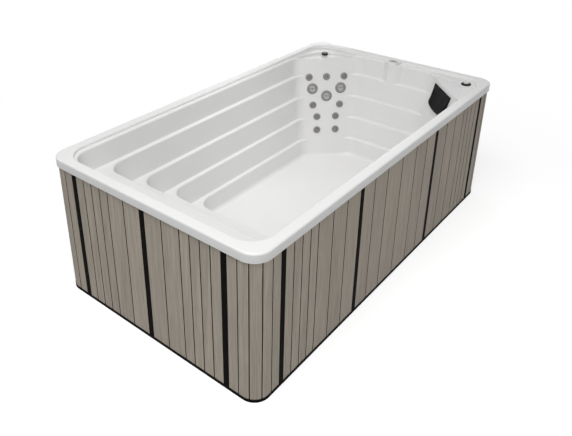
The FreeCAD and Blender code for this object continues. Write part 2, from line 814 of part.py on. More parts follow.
def frame_posts():
    """Box-section posts behind the panel joints, between the two frame rings."""
    depth = FRAME_INSET - BOARD_INSET
    half = FRAME_W / 2
    inner = half - FRAME_T
    foot = PAN_T + FRAME_W
    head = FRAME_TOP - FRAME_W
    post = box(-half, half, depth, depth + FRAME_W, foot, head)
    post = post.cut(box(-inner, inner, depth + FRAME_T, depth + FRAME_W - FRAME_T, foot, head))
    return [on_side(post, at, turns) for at, turns in strip_spots()]


def floor_bearers():
    """Bearers between the floor pan and the tub's floor, spread between the steps and the corners."""
    half = BEARER_W / 2
    reach = WALL_Y - wall_inset(LEDGES, FLOOR_Z) - FLOOR_R - BEARER_IN
    first = LEDGES * (TREAD - LEDGE_IN) + wall_inset(LEDGES, FLOOR_Z) - WALL_X + FLOOR_R + BEARER_W
    last = ROOT2 * corner_reach(FLOOR_Z) - reach - 2 * FLOOR_R - half
    pitch = (last - first) / (BEARERS - 1)
    places = [first + index * pitch for index in range(BEARERS)]
    return [box(x - half, x + half, -reach, reach, PAN_T, FLOOR_Z - SKIN) for x in places]


# Jets and what feeds them

def jet_body(bore, flange):
    """Wall fitting of a jet: a cup with a flange on the wall and a barb at its back."""
    barrel = bore + JET_WALL
    return lathe([
        (0.0, -BARB_END), (BARB_R, -BARB_END), (BARB_R, -JET_DEPTH), (barrel, -JET_DEPTH), (barrel, 0.0),
        (flange, 0.0), (flange, FLANGE_T), (bore, FLANGE_T), (bore, JET_WALL - JET_DEPTH),
        (0.0, JET_WALL - JET_DEPTH),
    ])


def jet_nut(bore):
    """Ring nut that clamps a jet body from behind the wall."""
    inner = bore + JET_WALL
    nut = drum(inner + NUT_W, -SKIN - NUT_T, -SKIN)
    return nut.cut(drum(inner, -SKIN - NUT_T, -SKIN))


def small_jet():
    """Turning insert of a small jet: a face dished round its nozzle, on a hollow stem."""
    seat = FLANGE_T + CLEAR
    stem = SMALL_BORE_R - RUN_FIT
    lip = NOZZLE_R + NOZZLE_WALL
    top = seat + FACE_H
    flat = SMALL_FACE_R - FACE_ROUND
    return lathe([
        (NOZZLE_R, -STEM_DEPTH), (NOZZLE_R, seat + NOZZLE_H), (lip, seat + NOZZLE_H), (lip, seat + DISH_H),
        (DISH_R, seat + DISH_H), (DISH_R + FACE_SLOPE, top), (flat, top),
        shoulder(flat, top, SMALL_FACE_R, seat), (stem, seat), (stem, -STEM_DEPTH),
    ])


def large_ring():
    """Turning ring of a large jet, with a round-topped face."""
    seat = FLANGE_T + CLEAR
    stem = LARGE_BORE_R - RUN_FIT
    bore = ROTOR_R + RUN_FIT
    crown = (bore + LARGE_FACE_R) / 2
    return lathe([
        (bore, -STEM_DEPTH), (bore, seat + RING_EDGE_H), (crown, seat + RING_CROWN_H, LARGE_FACE_R, seat),
        (stem, seat), (stem, -STEM_DEPTH),
    ])


def large_rotor():
    """Swirl rotor of a large jet: a dished face with a raised ring, a middle pin and two ports."""
    seat = FLANGE_T
    pin = seat + PIN_H
    rib_in = RIB_R - RIB_W / 2
    rib_out = RIB_R + RIB_W / 2
    rotor = lathe([
        (0.0, -STEM_DEPTH), (0.0, pin), (PIN_R / 2, pin), shoulder(PIN_R / 2, pin, PIN_R, seat),
        (rib_in, seat), (RIB_R, seat + RIB_H, rib_out, seat), (ROTOR_R - ROTOR_EDGE, seat + ROTOR_EDGE_H / 2),
        (ROTOR_R, seat + ROTOR_EDGE_H), (ROTOR_R, -STEM_DEPTH),
    ])
    port = drum(PORT_R, -STEM_DEPTH, pin)
    return rotor.cut(Part.Compound([port.translated(V(sign * PORT_OUT, 0, 0)) for sign in (-1, 1)]))


def hose(spot):
    """Hose from the back of a jet down to the top of the manifold, in the corner's frame."""
    offset, drop, depth = spot
    rise = -drop * SLANT
    foot = MANIFOLD_V + MANIFOLD_H / 2
    points = [V(offset, rise, -JET_DEPTH), V(offset, rise, -depth), V(offset, foot, -depth)]
    return tube(points, BARB_R + HOSE_FIT + HOSE_WALL, HOSE_WALL, HOSE_BEND)


def manifold():
    """Bar that shares the water out among the hoses, in the corner's frame."""
    half_h = MANIFOLD_H / 2
    half_d = MANIFOLD_DEPTH / 2
    bar = box(-MANIFOLD_HALF, MANIFOLD_HALF, -half_h, half_h, -half_d, half_d)
    long_edges = [edge for edge in bar.Edges if edge.BoundBox.XLength > 1]
    bar = bar.makeFillet(MANIFOLD_R, long_edges)
    bar.translate(V(0, MANIFOLD_V, MANIFOLD_W))
    return bar


# Pillow and controls

def pillow_section(at, share):
    """Section of the pillow at a share of its half length: lip, dished face, lower roll, underside."""
    head = -PILLOW_DROP * SLANT
    foot = head - (PILLOW_H - PILLOW_ARCH * at * at) * SLANT
    lip = PILLOW_LIP * share
    roll = PILLOW_ROLL * share
    roll_top = foot + PILLOW_ROLL_H

    def spot(rise, depth):
        half = PILLOW_HALF - PILLOW_TAPER * (head - rise) / (PILLOW_H * SLANT)
        return V(at * half, rise, depth)

    top = spot(head - lip / 3, CLEAR)
    brow = spot(head - lip, lip)
    hollow = spot((head + roll_top) / 2, PILLOW_DISH * share)
    swell = spot(roll_top, roll * 0.8)
    under = spot(foot + PILLOW_ROLL_H / 5, roll * 0.7)
    heel = spot(foot, CLEAR)
    edges = [
        Part.LineSegment(heel, top).toShape(),
        Part.Arc(top, spot(head, lip / 2), brow).toShape(),
        Part.Arc(brow, hollow, swell).toShape(),
        Part.Arc(swell, spot(foot + PILLOW_ROLL_H * 0.55, roll), under).toShape(),
        Part.LineSegment(under, heel).toShape(),
    ]
    return Part.Wire(edges)


def pillow():
    """Moulded head pillow on the right corner, narrower at its foot, its ends rounded down."""
    rows = [(-at, share) for at, share in reversed(PILLOW_ROWS[1:])] + list(PILLOW_ROWS)
    cushion = Part.makeLoft([pillow_section(at, share) for at, share in rows], True, False)
    return placed(cushion, corner_place(-1))


def button_spots():
    """Places of the buttons on the control panel."""
    centre = panel_centre()
    first = -BUTTON_PITCH * (BUTTON_COUNT - 1) / 2
    return [V(centre.x - BUTTON_LINE, first + index * BUTTON_PITCH, HEIGHT) for index in range(BUTTON_COUNT)]


def screen_box(z0, z1):
    """Block of the panel's screen between two heights."""
    middle = panel_centre().x + SCREEN_LINE
    half_x = SCREEN_X / 2
    half_y = SCREEN_Y / 2
    return box(middle - half_x, middle + half_x, -half_y, half_y, z0, z1)


def panel_housing():
    """Bezel and sunk body of the control panel, open for its screen and buttons."""
    centre = panel_centre()
    plate = slab(PANEL_X / 2, PANEL_Y / 2, PANEL_R, 0, PANEL_T)
    brow = [edge for edge in plate.Edges if edge.BoundBox.ZMin > PANEL_T - 0.01]
    plate = plate.makeFillet(PANEL_EDGE_R, brow)
    body = slab(PANEL_BODY_X / 2, PANEL_BODY_Y / 2, PANEL_T, -PANEL_BODY_H, 0)
    housing = plate.fuse(body)
    housing.translate(centre)
    top = HEIGHT + PANEL_T
    cuts = [screen_box(top - SCREEN_T, top + SCREEN_T)]
    for spot in button_spots():
        well = drum(BUTTON_R + CLEAR, PANEL_T - BUTTON_LEN, PANEL_T + BUTTON_PROUD)
        well.translate(spot)
        cuts.append(well)
    return housing.cut(Part.Compound(cuts)).removeSplitter()


def button(spot):
    """Round push button with a dished top."""
    foot = PANEL_T - BUTTON_LEN + BUTTON_TRAVEL + CLEAR
    top = PANEL_T + BUTTON_PROUD
    cap = lathe([
        (0.0, foot), (BUTTON_R, foot), (BUTTON_R, top - BUTTON_EDGE), (BUTTON_R - BUTTON_EDGE, top),
        (BUTTON_R - 2 * BUTTON_EDGE, top), (0.0, top - BUTTON_DISH),
    ])
    cap.translate(spot)
    return cap


def air_valve_body():
    """Air valve below the left shelf, with a flange on the shelf and a bore for the knob's stem."""
    bore = VALVE_STEM_R
    body = lathe([
        (bore, -AIR_BODY_L + VALVE_WALL), (bore, FLANGE_T), (AIR_FLANGE_R, FLANGE_T), (AIR_FLANGE_R, 0.0),
        (AIR_NECK_R, 0.0), (AIR_NECK_R, -AIR_BODY_L), (0.0, -AIR_BODY_L), (0.0, -AIR_BODY_L + VALVE_WALL),
    ])
    return placed(body, knob_place(1, AIR_BACK, DECK_Z - SHELF_DEPTH))


def air_knob():
    """Air control knob: a fluted, dished cap on a stem."""
    seat = FLANGE_T + CLEAR
    stem = VALVE_STEM_R - RUN_FIT
    brow = AIR_KNOB_R - KNOB_TAPER
    flat = brow - KNOB_ROUND
    knob = lathe([
        (0.0, -VALVE_STEM_L), (0.0, AIR_KNOB_H - KNOB_DISH), (AIR_KNOB_R - KNOB_RIM, AIR_KNOB_H),
        (flat, AIR_KNOB_H), shoulder(flat, AIR_KNOB_H, brow, AIR_KNOB_H - KNOB_ROUND), (AIR_KNOB_R, seat),
        (stem, seat), (stem, -VALVE_STEM_L),
    ])
    flutes = []
    for index in range(FLUTES):
        flute = Part.makeCylinder(FLUTE_R, AIR_KNOB_H, V(AIR_KNOB_R + FLUTE_R - FLUTE_BITE, 0, seat))
        flute.rotate(V(0, 0, 0), V(0, 0, 1), 360.0 * index / FLUTES)
        flutes.append(flute)
    return placed(knob.cut(Part.Compound(flutes)), knob_place(1, AIR_BACK, DECK_Z - SHELF_DEPTH))


def diverter_ring():
    """Fixed ring round the diverter's cap."""
    inner = DIVERTER_CAP_R + DIVERTER_RING_GAP
    lip = inner + DIVERTER_LIP_W
    top = DIVERTER_RING_H + DIVERTER_LIP_H
    ring = lathe([
        (inner, 0.0), (inner, DIVERTER_RING_H), (lip, top), shoulder(lip, top, DIVERTER_RING_R, 0.0),
    ])
    return placed(ring, knob_place(-1, DIVERTER_BACK, DECK_Z))


def diverter_body():
    """Diverter valve below the deck, its neck up through the deck."""
    bore = VALVE_STEM_R
    neck = -SKIN - DIVERTER_NECK_L
    body = lathe([
        (bore, VALVE_WALL - DIVERTER_BODY_L), (bore, FLANGE_T), (DIVERTER_CAP_R, FLANGE_T),
        (DIVERTER_CAP_R, 0.0), (DIVERTER_NECK_R, 0.0), (DIVERTER_NECK_R, neck),
        (DIVERTER_BODY_R, neck - DIVERTER_SHOULDER),
        (DIVERTER_BODY_R, -DIVERTER_BODY_L), (0.0, -DIVERTER_BODY_L), (0.0, VALVE_WALL - DIVERTER_BODY_L),
    ])
    return placed(body, knob_place(-1, DIVERTER_BACK, DECK_Z))


def diverter_knob():
    """Turning cap of the diverter, with a pointer dimple."""
    seat = FLANGE_T + CLEAR
    stem = VALVE_STEM_R - RUN_FIT
    flat = DIVERTER_CAP_R - DIVERTER_CAP_ROUND
    knob = lathe([
        (0.0, -VALVE_STEM_L), (0.0, DIVERTER_CAP_H), (flat, DIVERTER_CAP_H),
        shoulder(flat, DIVERTER_CAP_H, DIVERTER_CAP_R, DIVERTER_CAP_H - DIVERTER_CAP_ROUND),
        (DIVERTER_CAP_R, seat), (stem, seat), (stem, -VALVE_STEM_L),
    ])
    spot = V(0, -DIVERTER_CAP_R / 2, DIVERTER_CAP_H - DIMPLE_DEPTH)
    dimple = Part.makeCylinder(DIMPLE_R, DIVERTER_CAP_H, spot)
    return placed(knob.cut(dimple), knob_place(-1, DIVERTER_BACK, DECK_Z))


# Pumps, pipes and service equipment

def pump_place(side):
    """Local frame of a pump: Z along its shaft towards the suction side, Y up."""
    turn = FreeCAD.Rotation(V(0, 1, 0), V(0, 0, 1), V(1, 0, 0), "ZYX")
    return FreeCAD.Placement(V(PUMP_X, side * PUMP_Y, PUMP_Z), turn)


def volute_inside():
    """Half width and radius of the pump chamber."""
    return VOLUTE_W / 2 - VOLUTE_WALL, VOLUTE_R - VOLUTE_WALL


def pump_casing(side):
    """Volute with an axial inlet and a level outlet, hollow for the impeller."""
    half = VOLUTE_W / 2
    half_in, radius_in = volute_inside()
    inlet = half + INLET_L
    outlet_end = VOLUTE_R + OUTLET_L
    bore = PIPE_R - PIPE_WALL
    casing = drum(VOLUTE_R, -half, half).fuse(drum(PIPE_R, half, inlet))
    spout = Part.makeCylinder(PIPE_R, outlet_end, V(0, OUTLET_UP, 0), V(side, 0, 0))
    spout_bore = Part.makeCylinder(bore, outlet_end, V(0, OUTLET_UP, 0), V(side, 0, 0))
    casing = casing.fuse(spout)
    hollow = drum(radius_in, -half_in, half_in).multiFuse([drum(bore, 0, inlet), spout_bore])
    hollow = hollow.fuse(drum(SHAFT_R + CLEAR, -half, 0))
    return placed(casing.cut(hollow).removeSplitter(), pump_place(side))


def pump_motor(side):
    """Motor with an end cap, cooling ribs and a foot on the floor pan."""
    front = -VOLUTE_W / 2
    back = front - MOTOR_L
    first = front - MOTOR_CAP
    starts = [first - MOTOR_RIB_PITCH * index for index in range(1, MOTOR_RIBS)]
    ribs = [drum(MOTOR_R, start - MOTOR_RIB_W, start) for start in starts]
    can = drum(MOTOR_R - MOTOR_RIB_H, back, front).multiFuse([drum(MOTOR_R, first, front)] + ribs)
    drop = PUMP_Z - PAN_T
    half = MOTOR_FOOT_W / 2
    middle = front - MOTOR_L / 2
    foot = box(-half, half, -drop, MOTOR_FOOT_T - drop, middle - MOTOR_FOOT_L / 2, middle + MOTOR_FOOT_L / 2)
    reach = MOTOR_FOOT_L / 3
    web = box(-half / 2, half / 2, MOTOR_FOOT_T - drop, 0, middle - reach, middle + reach)
    motor = can.multiFuse([foot, web])
    bore = drum(SHAFT_R + RUN_FIT, back + MOTOR_CAP, front)
    return placed(motor.cut(bore).removeSplitter(), pump_place(side))


def pump_rotor(side):
    """Shaft with the impeller on its end."""
    half_in, _ = volute_inside()
    back = -VOLUTE_W / 2 - MOTOR_L + MOTOR_CAP + CLEAR
    disc = IMPELLER_GAP - half_in
    top = disc + IMPELLER_T + VANE_H
    vanes = []
    for index in range(VANES):
        vane = box(SHAFT_R / 2, IMPELLER_R - VANE_T, -VANE_T / 2, VANE_T / 2, disc, top)
        vane.rotate(V(0, 0, 0), V(0, 0, 1), 360.0 * index / VANES)
        vanes.append(vane)
    shaft = drum(SHAFT_R, back, top)
    rotor = shaft.multiFuse([drum(IMPELLER_R, disc, disc + IMPELLER_T)] + vanes).removeSplitter()
    return placed(rotor, pump_place(side))


def suction_cover(side):
    """Slotted cover on the lowest riser, with a spigot through the wall."""
    bore = PIPE_R - PIPE_WALL
    flat = COVER_R / 2
    under = COVER_T - COVER_WALL
    cover = lathe([
        (bore, -SPIGOT_L), (bore, COVER_EDGE), (COVER_R - COVER_ROUND, COVER_EDGE), (flat, under),
        (0.0, under), (0.0, COVER_T), (flat, COVER_T), shoulder(flat, COVER_T, COVER_R, COVER_EDGE),
        (COVER_R, 0.0), (PIPE_R, 0.0), (PIPE_R, -SPIGOT_L),
    ])
    slots = []
    for index in range(COVER_SLOTS):
        half = COVER_SLOT_W / 2
        slot = box(bore, COVER_R - COVER_SLOT_IN, -half, half, COVER_EDGE + CLEAR, COVER_T + COVER_EDGE)
        slot.rotate(V(0, 0, 0), V(0, 0, 1), 360.0 * index / COVER_SLOTS)
        slots.append(slot)
    return placed(cover.cut(Part.Compound(slots)), suction_place(side))


def suction_pipe(side):
    """Pipe from a suction cover's spigot, level after a short lead, to the pump's inlet."""
    start = suction_place(side).multVec(V(0, 0, -SPIGOT_L))
    level = suction_place(side).multVec(V(0, 0, -SUCTION_LEAD))
    inlet = PUMP_X + VOLUTE_W / 2 + INLET_L
    return tube([start, level, V(inlet, side * PUMP_Y, PUMP_Z)], PIPE_R, PIPE_WALL, PIPE_BEND)


def supply_pipe(side):
    """Pipe from the pump's outlet along the side of the tub to the manifold's end."""
    end = corner_place(side).multVec(V(-side * MANIFOLD_HALF, MANIFOLD_V, MANIFOLD_W))
    turn_x = end.x - (SUPPLY_Y - abs(end.y))
    start = V(PUMP_X, side * (PUMP_Y + VOLUTE_R + OUTLET_L), OUTLET_Z)
    points = [start, V(PUMP_X, side * SUPPLY_Y, OUTLET_Z), V(turn_x, side * SUPPLY_Y, MANIFOLD_Z), end]
    return tube(points, PIPE_R, PIPE_WALL, PIPE_BEND)


def control_box():
    """Electrical box on the middle post of the steps end, with a cable gland below."""
    back = FRAME_INSET + FRAME_W - HALF_L
    case = box(back, back + BOX_X, -BOX_Y / 2, BOX_Y / 2, BOX_Z, BOX_Z + BOX_H)
    front = [edge for edge in case.Edges if edge.BoundBox.XMin > back + BOX_X - 0.01]
    case = case.makeFillet(BOX_R, front)
    gland = drum(GLAND_R, -GLAND_L, 0).cut(drum(GLAND_R / 2, -GLAND_L, 0))
    gland.translate(V(back + BOX_X / 2, BOX_Y / 2 - 2 * GLAND_R, BOX_Z))
    return case.fuse(gland)


def heater_tube():
    """Heater slung below the control box on two feet."""
    back = FRAME_INSET + FRAME_W - HALF_L
    half = HEATER_L / 2
    collar = half - HEATER_COLLAR_L
    body = drum(HEATER_R, -half, half).multiFuse([drum(HEATER_COLLAR_R, -half, -collar),
                                                  drum(HEATER_COLLAR_R, collar, half)])
    foot = box(-HEATER_R / 2, HEATER_R / 2, 0, HEATER_DROP, -HEATER_FOOT_W / 2, HEATER_FOOT_W / 2)
    feet = [foot.translated(V(0, 0, at)) for at in (-half / 2, half / 2)]
    body = body.multiFuse(feet).cut(drum(HEATER_R - HEATER_WALL, -half, half))
    lay = FreeCAD.Placement(V(back + BOX_X / 2, 0, BOX_Z - HEATER_DROP), FreeCAD.Rotation(V(1, 0, 0), 90))
    return placed(body.removeSplitter(), lay)


def filter_canister():
    """Upright filter cup, standing on the floor pan."""
    inner = FILTER_R - FILTER_WALL
    cup = lathe([
        (0.0, 0.0), (FILTER_R, 0.0), (FILTER_R, FILTER_H), (inner, FILTER_H), (inner, FILTER_WALL),
        (0.0, FILTER_WALL),
    ])
    cup.translate(V(FILTER_X, FILTER_Y, PAN_T))
    return cup


def filter_lid():
    """Lid that screws down over the filter cup."""
    inner = FILTER_R + CLEAR
    outer = FILTER_R + LID_W
    top = FILTER_H + LID_CROWN
    flat = outer - LID_CROWN
    skirt = FILTER_H - LID_SKIRT
    lid = lathe([
        (0.0, FILTER_H), (0.0, top), (flat, top), shoulder(flat, top, outer, FILTER_H), (outer, skirt),
        (inner, skirt), (inner, FILTER_H),
    ])
    lid.translate(V(FILTER_X, FILTER_Y, PAN_T))
    return lid


def filter_cartridge():
    """Filter cartridge that stands in the cup."""
    top = FILTER_H - CARTRIDGE_GAP
    cartridge = drum(CARTRIDGE_R, FILTER_WALL, top).cut(drum(CARTRIDGE_BORE_R, FILTER_WALL, top))
    cartridge.translate(V(FILTER_X, FILTER_Y, PAN_T))
    return cartridge


def main():
    """Build every piece and write it."""
    os.makedirs("parts", exist_ok=True)
    export("tub_shell", tub_shell())
    export("base_pan", inset_slab(FRAME_INSET, 0.0, PAN_T))
    export("base_trim", inset_ring(BOARD_INSET - TRIM_PROUD, FRAME_INSET, 0.0, TRIM_H))
    export("bottom_frame", frame_ring(PAN_T))
    export("top_frame", frame_ring(FRAME_TOP - FRAME_W))
    export("frame_posts", Part.Compound(frame_posts()))
    export("floor_bearers", Part.Compound(floor_bearers()))
    sides = straight_boards(0, side_pitches()) + straight_boards(2, side_pitches())
    ends = straight_boards(1, end_pitches()) + straight_boards(3, end_pitches())
    export("long_side_boards", Part.Compound(sides))
    export("end_boards", Part.Compound(ends))
    export("corner_boards", Part.Compound(corner_boards()))
    export("panel_backers", Part.Compound(panel_backers()))
    export("cover_strips", Part.Compound([on_side(cover_strip(), at, turns) for at, turns in strip_spots()]))
    export("panel_screws", Part.Compound(panel_screws()))

    for index, spot in enumerate(SMALL_JETS, 1):
        export("small_jet_%d" % index, placed(small_jet(), jet_place(1, spot)))
    for index, spot in enumerate(LARGE_JETS, 1):
        export("large_jet_ring_%d" % index, placed(large_ring(), jet_place(1, spot)))
        export("large_jet_rotor_%d" % index, placed(large_rotor(), jet_place(1, spot)))
    for index, spot in enumerate(PILLOW_JETS, 1):
        export("pillow_jet_%d" % index, placed(small_jet(), jet_place(-1, spot)))
    small_body = jet_body(SMALL_BORE_R, SMALL_FACE_R - FLANGE_IN)
    small_spots = [(1, spot) for spot in SMALL_JETS] + [(-1, spot) for spot in PILLOW_JETS]
    large_body = jet_body(LARGE_BORE_R, LARGE_FACE_R - FLANGE_IN)
    export("small_jet_bodies", Part.Compound([placed(small_body, jet_place(*at)) for at in small_spots]))
    export("large_jet_bodies", Part.Compound([placed(large_body, jet_place(1, spot)) for spot in LARGE_JETS]))
    nuts = [placed(jet_nut(bore), jet_place(side, spot)) for side, spot, bore in jet_spots()]
    export("jet_nuts", Part.Compound(nuts))
    hoses = [placed(hose(spot), corner_place(side)) for side, spot, _ in jet_spots()]
    export("jet_hoses", Part.Compound(hoses))
    export("manifolds", Part.Compound([placed(manifold(), corner_place(side)) for side in (-1, 1)]))

    export("pillow", pillow())
    export("panel_housing", panel_housing())
    top = HEIGHT + PANEL_T
    export("panel_screen", screen_box(top - SCREEN_T, top))
    for index, spot in enumerate(button_spots(), 1):
        export("panel_button_%d" % index, button(spot))
    export("air_valve_body", air_valve_body())
    export("air_knob", air_knob())
    export("diverter_body", diverter_body())
    export("diverter_ring", diverter_ring())
    export("diverter_knob", diverter_knob())

    export("pump_casings", Part.Compound([pump_casing(side) for side in (-1, 1)]))
    export("pump_motors", Part.Compound([pump_motor(side) for side in (-1, 1)]))
    export("pump_rotor_1", pump_rotor(-1))
    export("pump_rotor_2", pump_rotor(1))
    export("suction_covers", Part.Compound([suction_cover(side) for side in (-1, 1)]))
    pipes = [pipe(side) for side in (-1, 1) for pipe in (suction_pipe, supply_pipe)]
    export("pipes", Part.Compound(pipes))
    export("control_box", control_box())
    export("heater_tube", heater_tube())
    export("filter_canister", filter_canister())
    export("filter_lid", filter_lid())
    export("filter_cartridge", filter_cartridge())


if __name__ == "__main__":
    main()
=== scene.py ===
"""Looks of a swim spa: a white moulded tub in a cabinet of upright wood-grain boards.

The frame's CAD pieces get procedural finishes, a moulded pillow takes the plain one's place, and a pale
studio is set up around them at the photograph's viewing angle. Lengths are in metres.
"""

import json
import logging
import math
from abc import ABC, abstractmethod
from collections.abc import Iterator
from dataclasses import dataclass, field
from enum import Enum

import bmesh
import bpy
from mathutils import Matrix, Vector

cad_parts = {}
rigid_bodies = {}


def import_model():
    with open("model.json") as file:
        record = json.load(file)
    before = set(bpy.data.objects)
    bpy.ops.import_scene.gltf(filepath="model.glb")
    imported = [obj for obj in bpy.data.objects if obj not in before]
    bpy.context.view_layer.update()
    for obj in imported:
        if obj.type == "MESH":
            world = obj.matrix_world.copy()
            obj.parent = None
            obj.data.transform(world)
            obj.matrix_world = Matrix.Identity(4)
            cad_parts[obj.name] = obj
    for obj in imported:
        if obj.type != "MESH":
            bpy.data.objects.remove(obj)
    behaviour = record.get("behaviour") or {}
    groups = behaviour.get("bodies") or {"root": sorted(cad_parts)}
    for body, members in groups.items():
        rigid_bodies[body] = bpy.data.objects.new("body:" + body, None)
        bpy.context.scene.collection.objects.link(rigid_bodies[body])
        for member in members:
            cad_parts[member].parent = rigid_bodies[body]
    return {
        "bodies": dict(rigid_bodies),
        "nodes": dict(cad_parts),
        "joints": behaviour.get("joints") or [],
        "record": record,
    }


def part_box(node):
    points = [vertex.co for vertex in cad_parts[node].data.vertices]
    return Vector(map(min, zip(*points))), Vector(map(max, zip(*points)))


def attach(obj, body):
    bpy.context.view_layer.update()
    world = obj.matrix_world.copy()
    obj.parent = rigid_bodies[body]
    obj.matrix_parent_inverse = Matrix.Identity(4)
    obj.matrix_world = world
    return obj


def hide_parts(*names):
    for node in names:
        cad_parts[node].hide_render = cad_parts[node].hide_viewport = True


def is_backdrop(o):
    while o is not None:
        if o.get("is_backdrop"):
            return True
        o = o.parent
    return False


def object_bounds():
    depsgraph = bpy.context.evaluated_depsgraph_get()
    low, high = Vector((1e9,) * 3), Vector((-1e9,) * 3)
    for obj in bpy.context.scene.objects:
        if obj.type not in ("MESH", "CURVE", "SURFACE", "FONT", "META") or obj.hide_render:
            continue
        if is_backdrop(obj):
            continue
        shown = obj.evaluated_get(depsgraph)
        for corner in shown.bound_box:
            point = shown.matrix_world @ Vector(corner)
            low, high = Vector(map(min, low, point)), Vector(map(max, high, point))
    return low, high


LOG = logging.getLogger("swim_spa")
PHOTO_WIDTH = 572
SENSOR_WIDTH = 36.0
MM = 0.001
ROOT_BODY = "tub"
WHITE = (1.0, 1.0, 1.0, 1.0)
FULL_SPAN = (0.0, 1.0)
NOISE_SPAN = (0.3, 0.7)
NOISE_ROUGHNESS = 0.55
BEVEL_SAMPLES = 6

Colour = tuple[float, float, float]
Place = tuple[float, float, float]
Span = tuple[float, float]
Spot = tuple[float, float]
Profile = list[Spot]
Socket = bpy.types.NodeSocket


class Axis(Enum):
    """Direction that a grain runs along, as the stretch of its texture space."""

    UPRIGHT = (1.0, 1.0, 0.02)
    LENGTHWISE = (0.02, 1.0, 1.0)
    CROSSWISE = (1.0, 0.02, 1.0)
    EVEN = (1.0, 1.0, 1.0)


class Curve(Enum):
    """Course of a ramp between its two ends, as Blender names it."""

    STRAIGHT = "LINEAR"
    EASED = "SMOOTHSTEP"


class Tree:
    """A node tree with short ways to add and join its nodes."""

    def __init__(self, tree: bpy.types.NodeTree) -> None:
        """Take hold of a node tree.

        Args:
            tree: Node tree of a material or of the world.
        """
        self.tree = tree

    def node(self, kind: str, **values: object) -> bpy.types.Node:
        """Add a node and set its properties or unlinked inputs.

        Args:
            kind: Blender's node type.
            **values: Property names, or input names with spaces written as underscores.

        Returns:
            The new node.
        """
        made = self.tree.nodes.new(kind)
        for key, value in values.items():
            if hasattr(made, key):
                setattr(made, key, value)
            else:
                made.inputs[key.replace("_", " ")].default_value = value
        return made

    def link(self, source: Socket, target: Socket) -> None:
        """Join two sockets.

        Args:
            source: Output of one node.
            target: Input of another.
        """
        self.tree.links.new(source, target)

    def mix(self, factor: Socket, low: Socket, high: Socket) -> Socket:
        """Mix two shaders by a factor.

        Args:
            factor: Share of the second shader.
            low: First shader.
            high: Second shader.

        Returns:
            The mixed shader.
        """
        pick = self.node("ShaderNodeMixShader")
        for source, target in zip((factor, low, high), pick.inputs):
            self.link(source, target)
        return pick.outputs[0]

    def seen(self) -> Socket:
        """Factor that is 1 for the camera and for mirror and clear rays, and 0 for soft light.

        Returns:
            The factor.
        """
        path = self.node("ShaderNodeLightPath")
        factor = path.outputs["Is Camera Ray"]
        for ray in ("Is Glossy Ray", "Is Transmission Ray"):
            either = self.node("ShaderNodeMath", operation="MAXIMUM")
            self.link(factor, either.inputs[0])
            self.link(path.outputs[ray], either.inputs[1])
            factor = either.outputs[0]
        return factor


